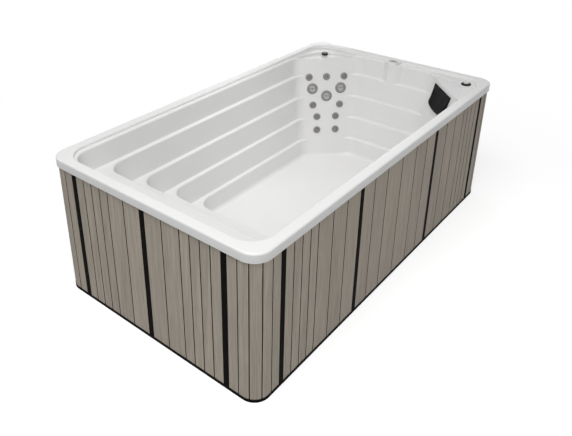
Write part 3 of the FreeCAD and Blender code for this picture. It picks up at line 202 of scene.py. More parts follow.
class Graph(Tree):
    """Node tree of one material, with a principled shader already in place."""

    def __init__(self, name: str) -> None:
        """Start a material.

        Args:
            name: Name of the material.
        """
        self.material = bpy.data.materials.new(name)
        self.material.use_nodes = True
        super().__init__(self.material.node_tree)
        self.shader = self.tree.nodes["Principled BSDF"]

    def fix(self, **values: object) -> None:
        """Set constants on the principled shader's own sockets.

        Args:
            **values: Socket names with spaces written as underscores.
        """
        for key, value in values.items():
            self.shader.inputs[key.replace("_", " ")].default_value = value

    def place(self) -> Socket:
        """Object coordinates, which are the part's own.

        Returns:
            The place on the part in metres.
        """
        return self.node("ShaderNodeTexCoord").outputs["Object"]

    def space(self, scale: float, axis: Axis = Axis.EVEN) -> Socket:
        """Object coordinates, scaled and stretched along an axis.

        Args:
            scale: Texture cycles per metre.
            axis: Direction that the texture is drawn out along.

        Returns:
            The scaled vector.
        """
        stretch = self.node("ShaderNodeVectorMath", operation="MULTIPLY")
        stretch.inputs[1].default_value = [scale * share for share in axis.value]
        self.link(self.place(), stretch.inputs[0])
        return stretch.outputs[0]

    def noise(self, scale: float, axis: Axis = Axis.EVEN, detail: float = 3.0) -> Socket:
        """Noise over the object.

        Args:
            scale: Cycles per metre.
            axis: Direction that the noise is drawn out along.
            detail: Octaves of the noise.

        Returns:
            The noise value, about 0.5 on average.
        """
        made = self.node("ShaderNodeTexNoise", Scale=1.0, Detail=detail, Roughness=NOISE_ROUGHNESS)
        self.link(self.space(scale, axis), made.inputs["Vector"])
        return made.outputs["Fac"]

    def cells(self, scale: float) -> Socket:
        """Pebbled pattern of rounded cells.

        Args:
            scale: Cells per metre.

        Returns:
            The distance from each cell's middle.
        """
        made = self.node("ShaderNodeTexVoronoi", feature="SMOOTH_F1", Scale=1.0)
        self.link(self.space(scale), made.inputs["Vector"])
        return made.outputs["Distance"]

    def ramp(self, value: Socket, start: Span, end: Span, curve: Curve = Curve.STRAIGHT) -> Socket:
        """Map a value from one range onto another, held beyond the ends.

        Args:
            value: Value to map.
            start: Range that the value comes from.
            end: Range that the result lies in.
            curve: Course between the ends.

        Returns:
            The mapped value.
        """
        made = self.node("ShaderNodeMapRange", interpolation_type=curve.value, From_Min=start[0],
                         From_Max=start[1], To_Min=end[0], To_Max=end[1])
        self.link(value, made.inputs["Value"])
        return made.outputs["Result"]

    def spread(self, noise: Socket, span: Span) -> Socket:
        """Map a noise value from where it mostly lies onto another range.

        Args:
            noise: Noise value.
            span: Range of the result.

        Returns:
            The mapped value.
        """
        return self.ramp(noise, NOISE_SPAN, span)

    def mottle(self, noise: Socket, low: Colour, high: Colour) -> Socket:
        """Colour between two fixed ones, by a noise value.

        Args:
            noise: Noise value.
            low: Colour where the noise is low.
            high: Colour where the noise is high.

        Returns:
            The mixed colour.
        """
        made = self.node("ShaderNodeMix", data_type="RGBA")
        for socket, colour in zip([s for s in made.inputs if s.type == "RGBA"], (low, high)):
            socket.default_value = (*colour, 1.0)
        self.link(self.spread(noise, FULL_SPAN), made.inputs["Factor"])
        return next(s for s in made.outputs if s.type == "RGBA")

    def shade(self, colour: Socket, factor: Socket) -> Socket:
        """Multiply a colour by a grey value.

        Args:
            colour: Colour to shade.
            factor: Grey value, 1 for no change.

        Returns:
            The shaded colour.
        """
        made = self.node("ShaderNodeVectorMath", operation="SCALE")
        self.link(colour, made.inputs[0])
        self.link(factor, made.inputs["Scale"])
        return made.outputs[0]

    def colour(self, source: Socket) -> None:
        """Feed the base colour.

        Args:
            source: Colour to feed.
        """
        self.link(source, self.shader.inputs["Base Color"])

    def gloss(self, noise: Socket, span: Span) -> None:
        """Let the roughness vary with a noise value.

        Args:
            noise: Noise value.
            span: Roughness where the noise is low and where it is high.
        """
        self.link(self.spread(noise, span), self.shader.inputs["Roughness"])

    def bump(self, height: Socket, distance: float, eased: float = 0.0) -> None:
        """Raise the surface by a height pattern.

        Args:
            height: Pattern from 0 to 1.
            distance: Height in metres at 1.
            eased: Radius in metres that sharp edges are shaded with.
        """
        made = self.node("ShaderNodeBump", Distance=distance)
        if eased:
            edges = self.node("ShaderNodeBevel", samples=BEVEL_SAMPLES, Radius=eased)
            self.link(edges.outputs["Normal"], made.inputs["Normal"])
        self.link(height, made.inputs["Height"])
        self.link(made.outputs["Normal"], self.shader.inputs["Normal"])


@dataclass(frozen=True)
class Finish(ABC):
    """A procedural finish, which makes one material.

    The finishes' patches, peel, grain and marks are in cycles per metre, and their gloss is a range of
    roughness.
    """

    name: str

    @abstractmethod
    def paint(self, graph: Graph) -> None:
        """Lay out the finish's nodes.

        Args:
            graph: Node tree of the finish's material.
        """

    def build(self) -> bpy.types.Material:
        """Make the material.

        Returns:
            The new material.
        """
        graph = Graph(self.name)
        self.paint(graph)
        return graph.material


@dataclass(frozen=True)
class AcrylicFinish(Finish):
    """White moulded acrylic with a faint orange peel, and painted shade that greys it below the rim's
    top.
    """

    low: Colour = (0.855, 0.852, 0.846)
    high: Colour = (0.875, 0.873, 0.868)
    patches: float = 1.6
    gloss: Span = (0.16, 0.24)
    gloss_patches: float = 9.0
    peel: float = 140.0
    peel_depth: float = 0.1 * MM
    edge: float = 7.0 * MM
    # Painted shade below the rim: its tone, and the heights over which it fades out.
    painted_shade_tone: float = 0.93
    painted_shade_heights: Span = (1275.0 * MM, 1315.0 * MM)

    def paint(self, graph: Graph) -> None:
        """Lay out the finish's nodes.

        Args:
            graph: Node tree of the finish's material.
        """
        level = graph.node("ShaderNodeSeparateXYZ")
        graph.link(graph.place(), level.inputs[0])
        # Painted shade: the white is darkened everywhere below the rim's top, standing in for the shade
        # inside the tub.
        drawn = graph.ramp(level.outputs["Z"], self.painted_shade_heights, (self.painted_shade_tone, 1.0))
        graph.colour(graph.shade(graph.mottle(graph.noise(self.patches), self.low, self.high), drawn))
        graph.gloss(graph.noise(self.gloss_patches), self.gloss)
        graph.bump(graph.noise(self.peel, detail=1.0), self.peel_depth, self.edge)


@dataclass(frozen=True)
class BoardFinish(Finish):
    """Wood-grain board, each board in its own tone."""

    pale: Colour = (0.46, 0.405, 0.335)
    dark: Colour = (0.41, 0.36, 0.297)
    board_tones: Span = (0.92, 1.08)
    grain: Axis = Axis.UPRIGHT
    broad: float = 38.0
    broad_detail: float = 4.0
    streaks: float = 95.0
    streak_tones: Span = (0.8, 1.16)
    fine: float = 260.0
    fine_tones: Span = (0.82, 1.14)
    fine_depth: float = 0.6 * MM
    gloss: Span = (0.55, 0.72)

    def paint(self, graph: Graph) -> None:
        """Lay out the finish's nodes.

        Args:
            graph: Node tree of the finish's material.
        """
        broad = graph.noise(self.broad, self.grain, self.broad_detail)
        streaks = graph.noise(self.streaks, self.grain)
        fine = graph.noise(self.fine, self.grain)
        island = graph.node("ShaderNodeNewGeometry").outputs["Random Per Island"]
        tone = graph.mottle(broad, self.dark, self.pale)
        tone = graph.shade(tone, graph.spread(streaks, self.streak_tones))
        tone = graph.shade(tone, graph.spread(fine, self.fine_tones))
        graph.colour(graph.shade(tone, graph.ramp(island, FULL_SPAN, self.board_tones)))
        graph.gloss(broad, self.gloss)
        graph.bump(fine, self.fine_depth)


@dataclass(frozen=True)
class PlasticFinish(Finish):
    """Moulded plastic with a slight mottle and a fine moulded grain."""

    base: Colour
    gloss: Span = (0.4, 0.52)
    mottle: float = 0.12
    shine: float = 0.5
    patches: float = 14.0
    gloss_patches: float = 30.0
    grain: float = 600.0
    grain_depth: float = 0.15 * MM

    def paint(self, graph: Graph) -> None:
        """Lay out the finish's nodes.

        Args:
            graph: Node tree of the finish's material.
        """
        low = tuple(channel * (1.0 - self.mottle) for channel in self.base)
        high = tuple(min(1.0, channel * (1.0 + self.mottle)) for channel in self.base)
        graph.colour(graph.mottle(graph.noise(self.patches), low, high))
        graph.gloss(graph.noise(self.gloss_patches), self.gloss)
        graph.bump(graph.noise(self.grain, detail=1.0), self.grain_depth)
        graph.fix(Specular_IOR_Level=self.shine)


@dataclass(frozen=True)
class FoamFinish(Finish):
    """Black self-skinned foam with a pebbled skin."""

    base: Colour = (0.007, 0.007, 0.0072)
    worn: Colour = (0.014, 0.014, 0.0142)
    patches: float = 11.0
    gloss: Span = (0.42, 0.56)
    gloss_patches: float = 40.0
    pebbles: float = 420.0
    pebble_depth: float = 0.5 * MM
    shine: float = 0.05

    def paint(self, graph: Graph) -> None:
        """Lay out the finish's nodes.

        Args:
            graph: Node tree of the finish's material.
        """
        graph.colour(graph.mottle(graph.noise(self.patches), self.base, self.worn))
        graph.gloss(graph.noise(self.gloss_patches), self.gloss)
        graph.bump(graph.cells(self.pebbles), self.pebble_depth)
        graph.fix(Specular_IOR_Level=self.shine)


@dataclass(frozen=True)
class SteelFinish(Finish):
    """Bare or plated steel with drawing marks along one axis."""

    base: Colour
    drawn: Axis = Axis.LENGTHWISE
    gloss: Span = (0.28, 0.46)
    dulled: float = 0.88
    patches: float = 20.0
    marks: float = 500.0
    mark_depth: float = 0.1 * MM

    def paint(self, graph: Graph) -> None:
        """Lay out the finish's nodes.

        Args:
            graph: Node tree of the finish's material.
        """
        dull = tuple(channel * self.dulled for channel in self.base)
        marks = graph.noise(self.marks, self.drawn)
        graph.colour(graph.mottle(graph.noise(self.patches), dull, self.base))
        graph.gloss(marks, self.gloss)
        graph.bump(marks, self.mark_depth)
        graph.fix(Metallic=1.0)


@dataclass(frozen=True)
class PaintFinish(Finish):
    """Sprayed paint with a soft orange peel and slightly dusty patches."""

    base: Colour
    gloss: Span = (0.34, 0.5)
    gloss_patches: float = 25.0
    dust_cover: float = 0.8
    dust_tone: float = 0.02
    dust: float = 7.0
    dust_detail: float = 5.0
    peel: float = 220.0
    peel_depth: float = 0.2 * MM

    def paint(self, graph: Graph) -> None:
        """Lay out the finish's nodes.

        Args:
            graph: Node tree of the finish's material.
        """
        dusty = tuple(channel * self.dust_cover + self.dust_tone for channel in self.base)
        graph.colour(graph.mottle(graph.noise(self.dust, detail=self.dust_detail), self.base, dusty))
        graph.gloss(graph.noise(self.gloss_patches), self.gloss)
        graph.bump(graph.noise(self.peel, detail=1.0), self.peel_depth)


@dataclass(frozen=True)
class FleeceFinish(Finish):
    """White pleated filter fleece."""

    base: Colour = (0.72, 0.72, 0.7)
    shadow: Colour = (0.46, 0.46, 0.45)
    pleats: float = 90.0
    pleat_depth: float = 4.0 * MM
    roughness: float = 0.95
    fuzz: float = 0.3

    def paint(self, graph: Graph) -> None:
        """Lay out the finish's nodes.

        Args:
            graph: Node tree of the finish's material.
        """
        pleats = graph.noise(self.pleats, Axis.UPRIGHT, detail=0.0)
        graph.colour(graph.mottle(pleats, self.shadow, self.base))
        graph.bump(pleats, self.pleat_depth)
        graph.fix(Roughness=self.roughness, Sheen_Weight=self.fuzz)


@dataclass(frozen=True)
class WindowFinish(Finish):
    """Dark clear window over a display that is off."""

    base: Colour = (0.008, 0.01, 0.013)
    paler: float = 1.8
    patches: float = 60.0
    gloss: Span = (0.05, 0.12)
    gloss_patches: float = 45.0
    coat: float = 0.6
    coat_roughness: float = 0.04

    def paint(self, graph: Graph) -> None:
        """Lay out the finish's nodes.

        Args:
            graph: Node tree of the finish's material.
        """
        pale = tuple(channel * self.paler for channel in self.base)
        graph.colour(graph.mottle(graph.noise(self.patches), self.base, pale))
        graph.gloss(graph.noise(self.gloss_patches), self.gloss)
        graph.fix(Coat_Weight=self.coat, Coat_Roughness=self.coat_roughness)


FINISHES: tuple[Finish, ...] = (
    AcrylicFinish("tub_acrylic"),
    BoardFinish("cladding"),
    PlasticFinish("black_trim", (0.006, 0.0055, 0.005), (0.6, 0.72), shine=0.02),
    PlasticFinish("base_plastic", (0.008, 0.0075, 0.007), (0.6, 0.75), shine=0.02),
    PlasticFinish("backer_sheet", (0.006, 0.0055, 0.005), (0.7, 0.85), shine=0.1),
    SteelFinish("frame_steel", (0.56, 0.57, 0.58), gloss=(0.4, 0.55)),
    BoardFinish("bearer_timber", (0.52, 0.36, 0.2), (0.4, 0.26, 0.13), grain=Axis.CROSSWISE),
    SteelFinish("screw_steel", (0.6, 0.6, 0.6)),
    PlasticFinish("fitting_plastic", (0.7, 0.7, 0.69), (0.35, 0.45), mottle=0.04),
    PlasticFinish("hose_vinyl", (0.5, 0.52, 0.53), (0.25, 0.35), mottle=0.08),
    PlasticFinish("pipe_plastic", (0.74, 0.74, 0.73), (0.3, 0.4), mottle=0.03),
    FoamFinish("pillow_foam"),
    PlasticFinish("panel_grey", (0.5, 0.5, 0.5)),
    WindowFinish("panel_glass"),
    PlasticFinish("button_rubber", (0.05, 0.05, 0.052), (0.6, 0.7)),
    PlasticFinish("black_knob", (0.01, 0.01, 0.01), (0.25, 0.35)),
    PlasticFinish("jet_mid", (0.265, 0.26, 0.252), (0.35, 0.45)),
    PlasticFinish("jet_dark", (0.13, 0.128, 0.124), (0.35, 0.45)),
    PlasticFinish("jet_light", (0.43, 0.425, 0.415), (0.35, 0.45)),
    PlasticFinish("jet_pale", (0.66, 0.655, 0.645), (0.3, 0.4)),
    PlasticFinish("valve_black", (0.03, 0.03, 0.031), (0.5, 0.62), shine=0.05),
    PlasticFinish("pump_plastic", (0.02, 0.02, 0.021), (0.45, 0.6)),
    PaintFinish("motor_paint", (0.04, 0.045, 0.055)),
    SteelFinish("shaft_steel", (0.62, 0.62, 0.61)),
    PlasticFinish("box_plastic", (0.28, 0.29, 0.3), (0.45, 0.6)),
    SteelFinish("heater_steel", (0.64, 0.64, 0.63), Axis.CROSSWISE),
    FleeceFinish("filter_paper"),
)


@dataclass
class Wardrobe:
    """Materials by slot, made once each."""

    finishes: dict[str, Finish]
    made: dict[str, bpy.types.Material] = field(default_factory=dict)

    def get(self, slot: str) -> bpy.types.Material:
        """Material of a slot, built on first use.

        Args:
            slot: Name of the slot and of its finish.

        Returns:
            The slot's material.
        """
        if slot not in self.made:
            self.made[slot] = self.finishes[slot].build()
        return self.made[slot]

    def dress(self, piece: bpy.types.Object, *slots: str) -> None:
        """Give a piece the materials of some slots, the first one all over.

        Args:
            piece: Object to dress.
            *slots: Material slots in order.
        """
        piece.data.materials.clear()
        for slot in slots:
            piece.data.materials.append(self.get(slot))


def joint_place(frame: dict, child: str) -> tuple[Vector, Vector]:
    """Point and axis of the joint that carries a body.

    Args:
        frame: The loaded frame.
        child: Name of the moving body.

    Returns:
        The joint's point and its unit axis.
    """
    joint = next(entry for entry in frame["joints"] if entry["child"] == child)
    return Vector(joint["pos_m"]), Vector(joint["axis"]).normalized()


def finish_mesh(name: str, mesh: bmesh.types.BMesh) -> bpy.types.Object:
    """Turn a bmesh into a smooth object in the scene.

    Args:
        name: Name of the object.
        mesh: Mesh in the part's frame.

    Returns:
        The new object.
    """
    data = bpy.data.meshes.new(name)
    mesh.to_mesh(data)
    mesh.free()
    data.shade_smooth()
    piece = bpy.data.objects.new(name, data)
    bpy.context.scene.collection.objects.link(piece)
    return piece


class SubAssembly(ABC):
    """A group of pieces with looks of their own."""

    @abstractmethod
    def dress(self, frame: dict, wardrobe: Wardrobe) -> None:
        """Give the group's pieces their looks.

        Args:
            frame: The loaded frame.
            wardrobe: Materials by slot.
        """


class CadPieces(SubAssembly):
    """Every CAD node, in the one finish that the record names for it."""

    def dress(self, frame: dict, wardrobe: Wardrobe) -> None:
        """Give every CAD node the finish of its slot in the record.

        Args:
            frame: The loaded frame.
            wardrobe: Materials by slot.
        """
        for entry in frame["record"]["subparts"]:
            wardrobe.dress(frame["nodes"][entry["node"]], entry["material_slot"])
            LOG.info("%s: %s", entry["node"], entry["material_slot"])


@dataclass
class Cladding(SubAssembly):
    """Upright boards of the cabinet, with painted shade on the board sides that face each other across a
    groove.

    Attributes:
        length: Cabinet's length along X.
        width: Cabinet's width along Y.
        corner: Radius of the cabinet's corners.
        steepest: Least cosine between a front's normal and the way out of the cabinet.
        nodes: CAD nodes of the boards.
    """

    length: float
    width: float
    corner: float = 150.0 * MM
    steepest: float = 0.6
    nodes: tuple[str, ...] = ("long_side_boards", "end_boards", "corner_boards")

    def outwards(self, place: Vector) -> Vector:
        """Level direction that the cabinet's outside faces at a place.

        Args:
            place: Point on a board.

        Returns:
            Unit vector out of the cabinet.
        """
        over_x = max(abs(place.x) - self.length / 2.0 + self.corner, 0.0)
        over_y = max(abs(place.y) - self.width / 2.0 + self.corner, 0.0)
        return Vector((math.copysign(over_x, place.x), math.copysign(over_y, place.y), 0.0)).normalized()

    def dress(self, frame: dict, wardrobe: Wardrobe) -> None:
        """Give the boards' fronts the wood finish and their edges the dark one, as painted shade in the
        grooves.

        Args:
            frame: The loaded frame.
            wardrobe: Materials by slot.
        """
        for node in self.nodes:
            piece = frame["nodes"][node]
            wardrobe.dress(piece, "cladding", "backer_sheet")
            # Painted shade: faces that turn away from the outside take the black backer finish, so the
            # grooves look dark.
            for face in piece.data.polygons:
                face.material_index = int(face.normal.dot(self.outwards(face.center)) < self.steepest)
            LOG.info("%s: fronts and grooves", node)


@dataclass
class RoundPiece(SubAssembly):
    """A turned CAD piece whose finish changes with the distance from its axis.

    Attributes:
        node: Name of the CAD node and of the body that it turns with.
        bands: Outer radius and slot of each band, from the axis outwards.
    """

    node: str
    bands: tuple[tuple[float, str], ...]

    def dress(self, frame: dict, wardrobe: Wardrobe) -> None:
        """Give each face the finish of the band that its middle lies in.

        Args:
            frame: The loaded frame.
            wardrobe: Materials by slot.
        """
        piece = frame["nodes"][self.node]
        centre, axis = joint_place(frame, self.node)
        wardrobe.dress(piece, *(slot for _, slot in self.bands))
        for face in piece.data.polygons:
            arm = face.center - centre
            radius = (arm - axis * arm.dot(axis)).length
            face.material_index = sum(radius > limit for limit, _ in self.bands)
        LOG.info("%s: %d finishes", self.node, len(self.bands))


@dataclass
class JetCluster(SubAssembly):
    """Jet faces of both cut-off corners, with the radii at which their tones change.

    Attributes:
        small: Number of small jets.
        beside_pillow: Number of small jets below the pillow.
        large: Number of large jets.
        nozzle: Radius of a small jet's nozzle.
        dish: Radius of the dark dish round it.
        rib_inner: Radius at which a rotor's pale ribs begin.
        rib_outer: Radius at which they end.
        inner_edge: Radius of a large ring's dark inner edge.
    """

    small: int = 9
    beside_pillow: int = 4
    large: int = 3
    nozzle: float = 10.0 * MM
    dish: float = 19.5 * MM
    rib_inner: float = 13.5 * MM
    rib_outer: float = 18.5 * MM
    inner_edge: float = 42.0 * MM

    def pieces(self) -> Iterator[RoundPiece]:
        """Every turning piece with its bands of finish.

        Yields:
            One jet face, rotor or ring at a time.
        """
        face = ((self.nozzle, "jet_light"), (self.dish, "jet_dark"), (math.inf, "jet_mid"))
        rotor = ((self.rib_inner, "jet_mid"), (self.rib_outer, "jet_pale"), (math.inf, "jet_light"))
        ring = ((self.inner_edge, "jet_dark"), (math.inf, "jet_mid"))
        kinds = (("small_jet", self.small, face), ("pillow_jet", self.beside_pillow, face),
                 ("large_jet_rotor", self.large, rotor), ("large_jet_ring", self.large, ring))
        for stem, count, bands in kinds:
            for index in range(1, count + 1):
                yield RoundPiece(f"{stem}_{index}", bands)

    def dress(self, frame: dict, wardrobe: Wardrobe) -> None:
        """Dress every jet face.

        Args:
            frame: The loaded frame.
            wardrobe: Materials by slot.
        """
        for piece in self.pieces():
            piece.dress(frame, wardrobe)


@dataclass
class Diverter(SubAssembly):
    """Diverter behind the right shelf: a dark ring and a dark-edged pale cap with painted shade in its
    dimple.

    Attributes:
        cap_flat: Radius of the cap's pale flat.
        dimple_offset: Distance from the cap's middle to the dot's.
        dimple_shade_radius: Radius that takes in the whole dot.
    """

    cap_flat: float = 28.0 * MM
    dimple_offset: float = 16.5 * MM
    dimple_shade_radius: float = 4.2 * MM

    def dress(self, frame: dict, wardrobe: Wardrobe) -> None:
        """Dress the ring, the cap with its edge, and the painted shade in the cap's dimple.

        Args:
            frame: The loaded frame.
            wardrobe: Materials by slot.
        """
        centre, _ = joint_place(frame, "diverter_knob")
        dot = centre - Vector((0.0, self.dimple_offset, 0.0))
        cap = frame["nodes"]["diverter_knob"]
        wardrobe.dress(frame["nodes"]["diverter_ring"], "valve_black")
        wardrobe.dress(cap, "jet_pale", "valve_black")
        for face in cap.data.polygons:
            # Painted shade: faces round the cap's dimple take the black finish, standing in for the
            # dimple's shade.
            in_dimple_shade = (face.center - dot).to_2d().length < self.dimple_shade_radius
            on_edge = (face.center - centre).to_2d().length > self.cap_flat
            face.material_index = int(in_dimple_shade or on_edge)
        LOG.info("diverter: ring, cap and dot")


def bow(start: Spot, through: Spot, end: Spot, steps: int) -> Profile:
    """Points along a curve from a start through a middle point, without its end point.

    Args:
        start: First point.
        through: Point that the curve passes at its middle.
        end: Last point, left out of the result.
        steps: Number of points.

    Returns:
        The curve's points.
    """
    pull = tuple(2.0 * m - (a + b) / 2.0 for a, m, b in zip(start, through, end))
    points = []
    for step in range(steps):
        t = step / steps
        ways = zip(start, pull, end)
        points.append(tuple((1 - t) ** 2 * a + 2 * t * (1 - t) * c + t * t * b for a, c, b in ways))
    return points


@dataclass
class Pillow(SubAssembly):
    """Moulded head pillow on the cut-off corner's wall: a lip, a dished face and a lower roll.

    Attributes:
        half: Half the length at the top edge.
        taper: What the half length loses from the top edge down to the foot.
        drop: Way down the slope from the deck to the top edge.
        height: Way down the slope from the top edge to the foot's middle.
        arch: Rise of the foot at the ends.
        lip: Height and thickness of the lip along the top edge.
        dish: Thickness at the hollow below the lip.
        roll: Thickness of the lower roll.
        roll_height: Height of the lower roll.
        back_gap: Gap between the back and the wall.
        lip_back: Share of the lip's height by which the back ends below the top edge.
        swell_share: Share of the roll's thickness at its upper end.
        roll_middle: Share of the roll's height at which it is thickest.
        under_height: Share of the roll's height at which its underside begins.
        under_share: Share of the roll's thickness there.
        foot_share: Share of the roll's thickness halfway along its underside.
        end_share: Share of the thickness that is left at the ends.
        end_power: Power with which the thickness falls off to the ends.
        fill_power: Power with which the hollow fills up to the ends.
        steps: Points on the back, the lip, the hollow, the roll and the underside.
        columns: Number of strips along the pillow.
        levels: Levels of subdivision.
    """

    half: float = 217.0 * MM
    taper: float = 36.0 * MM
    drop: float = 61.0 * MM
    height: float = 266.4 * MM
    arch: float = 24.4 * MM
    lip: float = 16.0 * MM
    dish: float = 15.0 * MM
    roll: float = 50.0 * MM
    roll_height: float = 78.0 * MM
    back_gap: float = 0.5 * MM
    lip_back: float = 1.0 / 3.0
    swell_share: float = 0.8
    roll_middle: float = 0.55
    under_height: float = 0.2
    under_share: float = 0.7
    foot_share: float = 0.35
    end_share: float = 0.45
    end_power: int = 8
    fill_power: int = 6
    steps: tuple[int, ...] = (6, 4, 9, 8, 4)
    columns: int = 36
    levels: int = 1

    def wall(self, frame: dict) -> Matrix:
        """Frame of the wall under the pillow: X along, Y up the slope from the deck, Z into the water.

        Args:
            frame: The loaded frame.

        Returns:
            Matrix from the wall's frame to the part's frame.
        """
        point, into = joint_place(frame, "pillow_jet_1")
        along = Vector((0.0, 0.0, 1.0)).cross(into).normalized()
        up = into.cross(along)
        low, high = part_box("pillow")
        middle = (low + high) / 2.0
        middle -= into * (middle - point).dot(into)
        middle += up * ((high.z - middle.z) / up.z + self.drop)
        turn = Matrix((along, up, into)).transposed().to_4x4()
        return Matrix.Translation(middle) @ turn

    def section(self, at: float) -> Profile:
        """Outline of the pillow at a share of its half length, as (up the slope, away from the wall).

        Args:
            at: Place along the pillow, from -1 to 1.

        Returns:
            The outline's points, from the foot at the wall up the back and down the front.
        """
        share = self.end_share + (1.0 - self.end_share) * math.sqrt(1.0 - abs(at) ** self.end_power)
        head = -self.drop
        foot = head - self.height + self.arch * at * at
        lip = self.lip * share
        roll = self.roll * share
        roll_top = foot + self.roll_height
        heel = (foot, self.back_gap)
        top = (head - lip * self.lip_back, self.back_gap)
        brow = (head - lip, lip)
        swell = (roll_top, roll * self.swell_share)
        under = (foot + self.roll_height * self.under_height, roll * self.under_share)
        dish = self.dish * share
        dish += ((brow[1] + swell[1]) / 2.0 - dish) * abs(at) ** self.fill_power
        starts = (heel, top, brow, swell, under)
        middles = (
            ((heel[0] + top[0]) / 2.0, self.back_gap),
            (head, lip / 2.0),
            ((head + roll_top) / 2.0, dish),
            (foot + self.roll_height * self.roll_middle, roll),
            ((under[0] + heel[0]) / 2.0, roll * self.foot_share),
        )
        curves = zip(starts, middles, starts[1:] + starts[:1], self.steps)
        return [point for curve in curves for point in bow(*curve)]

    def loft(self, place: Matrix) -> bmesh.types.BMesh:
        """Skin the pillow over its sections and close both ends.

        Args:
            place: Matrix from the wall's frame to the part's frame.

        Returns:
            The closed mesh in the part's frame.
        """
        mesh = bmesh.new()
        rings = []
        for column in range(self.columns + 1):
            at = math.sin(math.pi * (column / self.columns - 0.5))
            ring = []
            for rise, depth in self.section(at):
                half = self.half + self.taper * (rise + self.drop) / self.height
                ring.append(mesh.verts.new(place @ Vector((at * half, rise, depth))))
            rings.append(ring)
        for near, far in zip(rings, rings[1:]):
            for index in range(len(near)):
                after = (index + 1) % len(near)
                mesh.faces.new((near[index], far[index], far[after], near[after]))
        mesh.faces.new(rings[0])
        mesh.faces.new(list(reversed(rings[-1])))
        bmesh.ops.recalc_face_normals(mesh, faces=mesh.faces)
        return mesh

    def dress(self, frame: dict, wardrobe: Wardrobe) -> None:
        """Put the moulded pillow in place of its plain solid.

        Args:
            frame: The loaded frame.
            wardrobe: Materials by slot.
        """
        piece = finish_mesh("pillow_pad", self.loft(self.wall(frame)))
        soften = piece.modifiers.new("soften", "SUBSURF")
        soften.levels = self.levels
        soften.render_levels = self.levels
        wardrobe.dress(piece, "pillow_foam")
        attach(piece, ROOT_BODY)
        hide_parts("pillow")
        LOG.info("%s: moulded pillow", piece.name)


@dataclass(frozen=True)
class Lamp:
    """A square soft lamp that faces the object.

    Attributes:
        name: Name of the lamp.
        power: Power in watts.
        size: Side of the square.
        place: Middle of the square.
        aim: Point that the lamp faces.
        spread: Angle in degrees that its light fans out over.
    """

    name: str
    power: float
    size: float
    place: Place
    aim: Place = (0.0, 0.0, 0.8)
    spread: float = 180.0

    def build(self) -> None:
        """Add the lamp to the scene."""
        data = bpy.data.lights.new(self.name, "AREA")
        data.energy = self.power
        data.size = self.size
        data.spread = math.radians(self.spread)
        lamp = bpy.data.objects.new(self.name, data)
        lamp.location = self.place
        toward = Vector(self.aim) - Vector(self.place)
        lamp.rotation_euler = toward.to_track_quat("-Z", "Y").to_euler()
        bpy.context.scene.collection.objects.link(lamp)


LAMPS = (
    Lamp("high_lamp", 300.0, 4.0, (-3.6, -0.8, 7.2)),
    Lamp("key_lamp", 12.0, 3.0, (-5.2, -3.6, 1.5)),
    Lamp("side_lamp", 52.0, 3.0, (-3.4, -4.6, 4.6)),
    Lamp("tub_lamp", 4.6, 1.2, (0.3, 0.1, 4.2), (0.25, 0.2, 0.0), 56.0),
    Lamp("back_lamp", 45.0, 3.0, (5.5, 4.5, 1.6)),
)


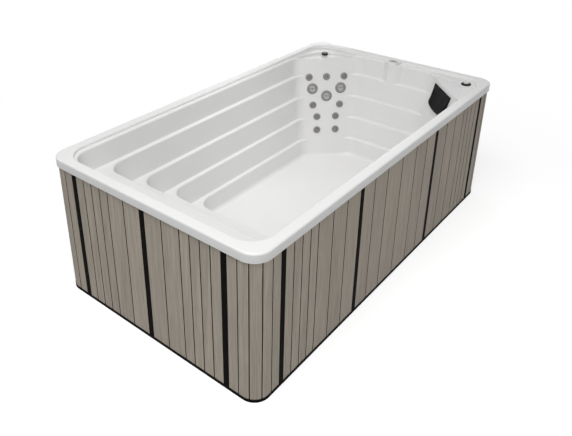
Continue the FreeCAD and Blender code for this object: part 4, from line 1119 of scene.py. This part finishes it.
@dataclass
class Studio:
    """Pale floor, pale surroundings, soft lamps and the camera.

    Attributes:
        camera_at: The camera's place.
        azimuth: Camera's turn about Z in degrees, 0 for a view along +Y.
        elevation: Angle in degrees that the camera looks down by.
        roll: Turn in degrees about the line of sight.
        focal_pixels: Focal length in the photograph's pixels.
        shift_right: Lens shift in the photograph's pixels.
        shift_down: Lens shift in the photograph's pixels.
        floor_half: Half the floor's side.
        floor_colour: Colour of the floor, as the object sees it.
        floor_roughness: Roughness of the floor.
        floor_glow: Light that the camera sees the floor give, so that it looks pale.
        lit_radius: Distance within which the floor shows shadows.
        white_radius: Distance beyond which the floor is plain white.
        sky: Strength of the surroundings as a light.
    """

    camera_at: Place = (-4.5562, -3.1665, 3.8053)
    azimuth: float = -49.799
    elevation: float = 25.42
    roll: float = -0.45
    focal_pixels: float = 640.17
    shift_right: float = 43.0
    shift_down: float = 90.0
    floor_half: float = 30.0
    floor_colour: Colour = (0.5, 0.5, 0.5)
    floor_roughness: float = 0.9
    floor_glow: float = 0.7
    lit_radius: float = 2.6
    white_radius: float = 5.5
    sky: float = 0.26

    def camera(self) -> None:
        """Set the camera at the photograph's viewing angle."""
        data = bpy.data.cameras.new("camera")
        data.sensor_width = SENSOR_WIDTH
        data.lens = self.focal_pixels * SENSOR_WIDTH / PHOTO_WIDTH
        data.shift_x = self.shift_right / PHOTO_WIDTH
        data.shift_y = -self.shift_down / PHOTO_WIDTH
        azimuth = math.radians(self.azimuth)
        elevation = math.radians(self.elevation)
        level = math.cos(elevation)
        back = Vector((math.sin(azimuth) * level, -math.cos(azimuth) * level, math.sin(elevation)))
        right = Vector((0.0, 0.0, 1.0)).cross(back).normalized()
        turn = Matrix((right, back.cross(right), back)).transposed().to_4x4()
        roll = Matrix.Rotation(math.radians(self.roll), 4, "Z")
        camera = bpy.data.objects.new("camera", data)
        camera.matrix_world = Matrix.Translation(Vector(self.camera_at)) @ turn @ roll
        bpy.context.scene.collection.objects.link(camera)
        bpy.context.scene.camera = camera

    def floor(self) -> None:
        """Lay a pale floor that takes the shadow near the object and is plain white far from it."""
        mesh = bmesh.new()
        bmesh.ops.create_grid(mesh, x_segments=1, y_segments=1, size=self.floor_half)
        piece = finish_mesh("floor", mesh)
        graph = Graph("floor")
        graph.fix(Base_Color=(*self.floor_colour, 1.0), Roughness=self.floor_roughness)
        plain = graph.shader.outputs[0]
        glow = graph.node("ShaderNodeEmission", Strength=self.floor_glow)
        white = graph.node("ShaderNodeEmission", Strength=1.0)
        lit = graph.node("ShaderNodeAddShader")
        graph.link(plain, lit.inputs[0])
        graph.link(glow.outputs[0], lit.inputs[1])
        reach = graph.node("ShaderNodeVectorMath", operation="LENGTH")
        graph.link(graph.place(), reach.inputs[0])
        rim = (self.lit_radius, self.white_radius)
        far = graph.ramp(reach.outputs["Value"], rim, FULL_SPAN, Curve.EASED)
        shown = graph.mix(far, lit.outputs[0], white.outputs[0])
        both = graph.mix(graph.seen(), plain, shown)
        graph.link(both, graph.tree.nodes["Material Output"].inputs["Surface"])
        piece.data.materials.append(graph.material)
        piece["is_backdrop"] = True

    def world(self) -> None:
        """Even pale surroundings: white to the camera and in reflections, softer as a light."""
        world = bpy.data.worlds.new("surroundings")
        bpy.context.scene.world = world
        world.use_nodes = True
        surroundings = Tree(world.node_tree)
        light = surroundings.tree.nodes["Background"]
        light.inputs["Color"].default_value = WHITE
        light.inputs["Strength"].default_value = self.sky
        white = surroundings.node("ShaderNodeBackground", Color=WHITE)
        both = surroundings.mix(surroundings.seen(), light.outputs[0], white.outputs[0])
        surroundings.link(both, surroundings.tree.nodes["World Output"].inputs["Surface"])

    def build(self) -> None:
        """Set up the whole studio."""
        bpy.context.scene.view_settings.view_transform = "Standard"
        self.camera()
        self.floor()
        self.world()
        for lamp in LAMPS:
            lamp.build()


def main() -> None:
    """Load the frame and dress each sub-assembly of it."""
    logging.basicConfig(level=logging.INFO, format="%(name)s: %(message)s")
    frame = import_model()
    cad_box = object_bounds()
    wardrobe = Wardrobe({finish.name: finish for finish in FINISHES})
    size = cad_box[1] - cad_box[0]
    for group in (CadPieces(), Cladding(size.x, size.y), JetCluster(), Diverter(), Pillow()):
        group.dress(frame, wardrobe)
    Studio().build()


if __name__ == "__main__":
    main()
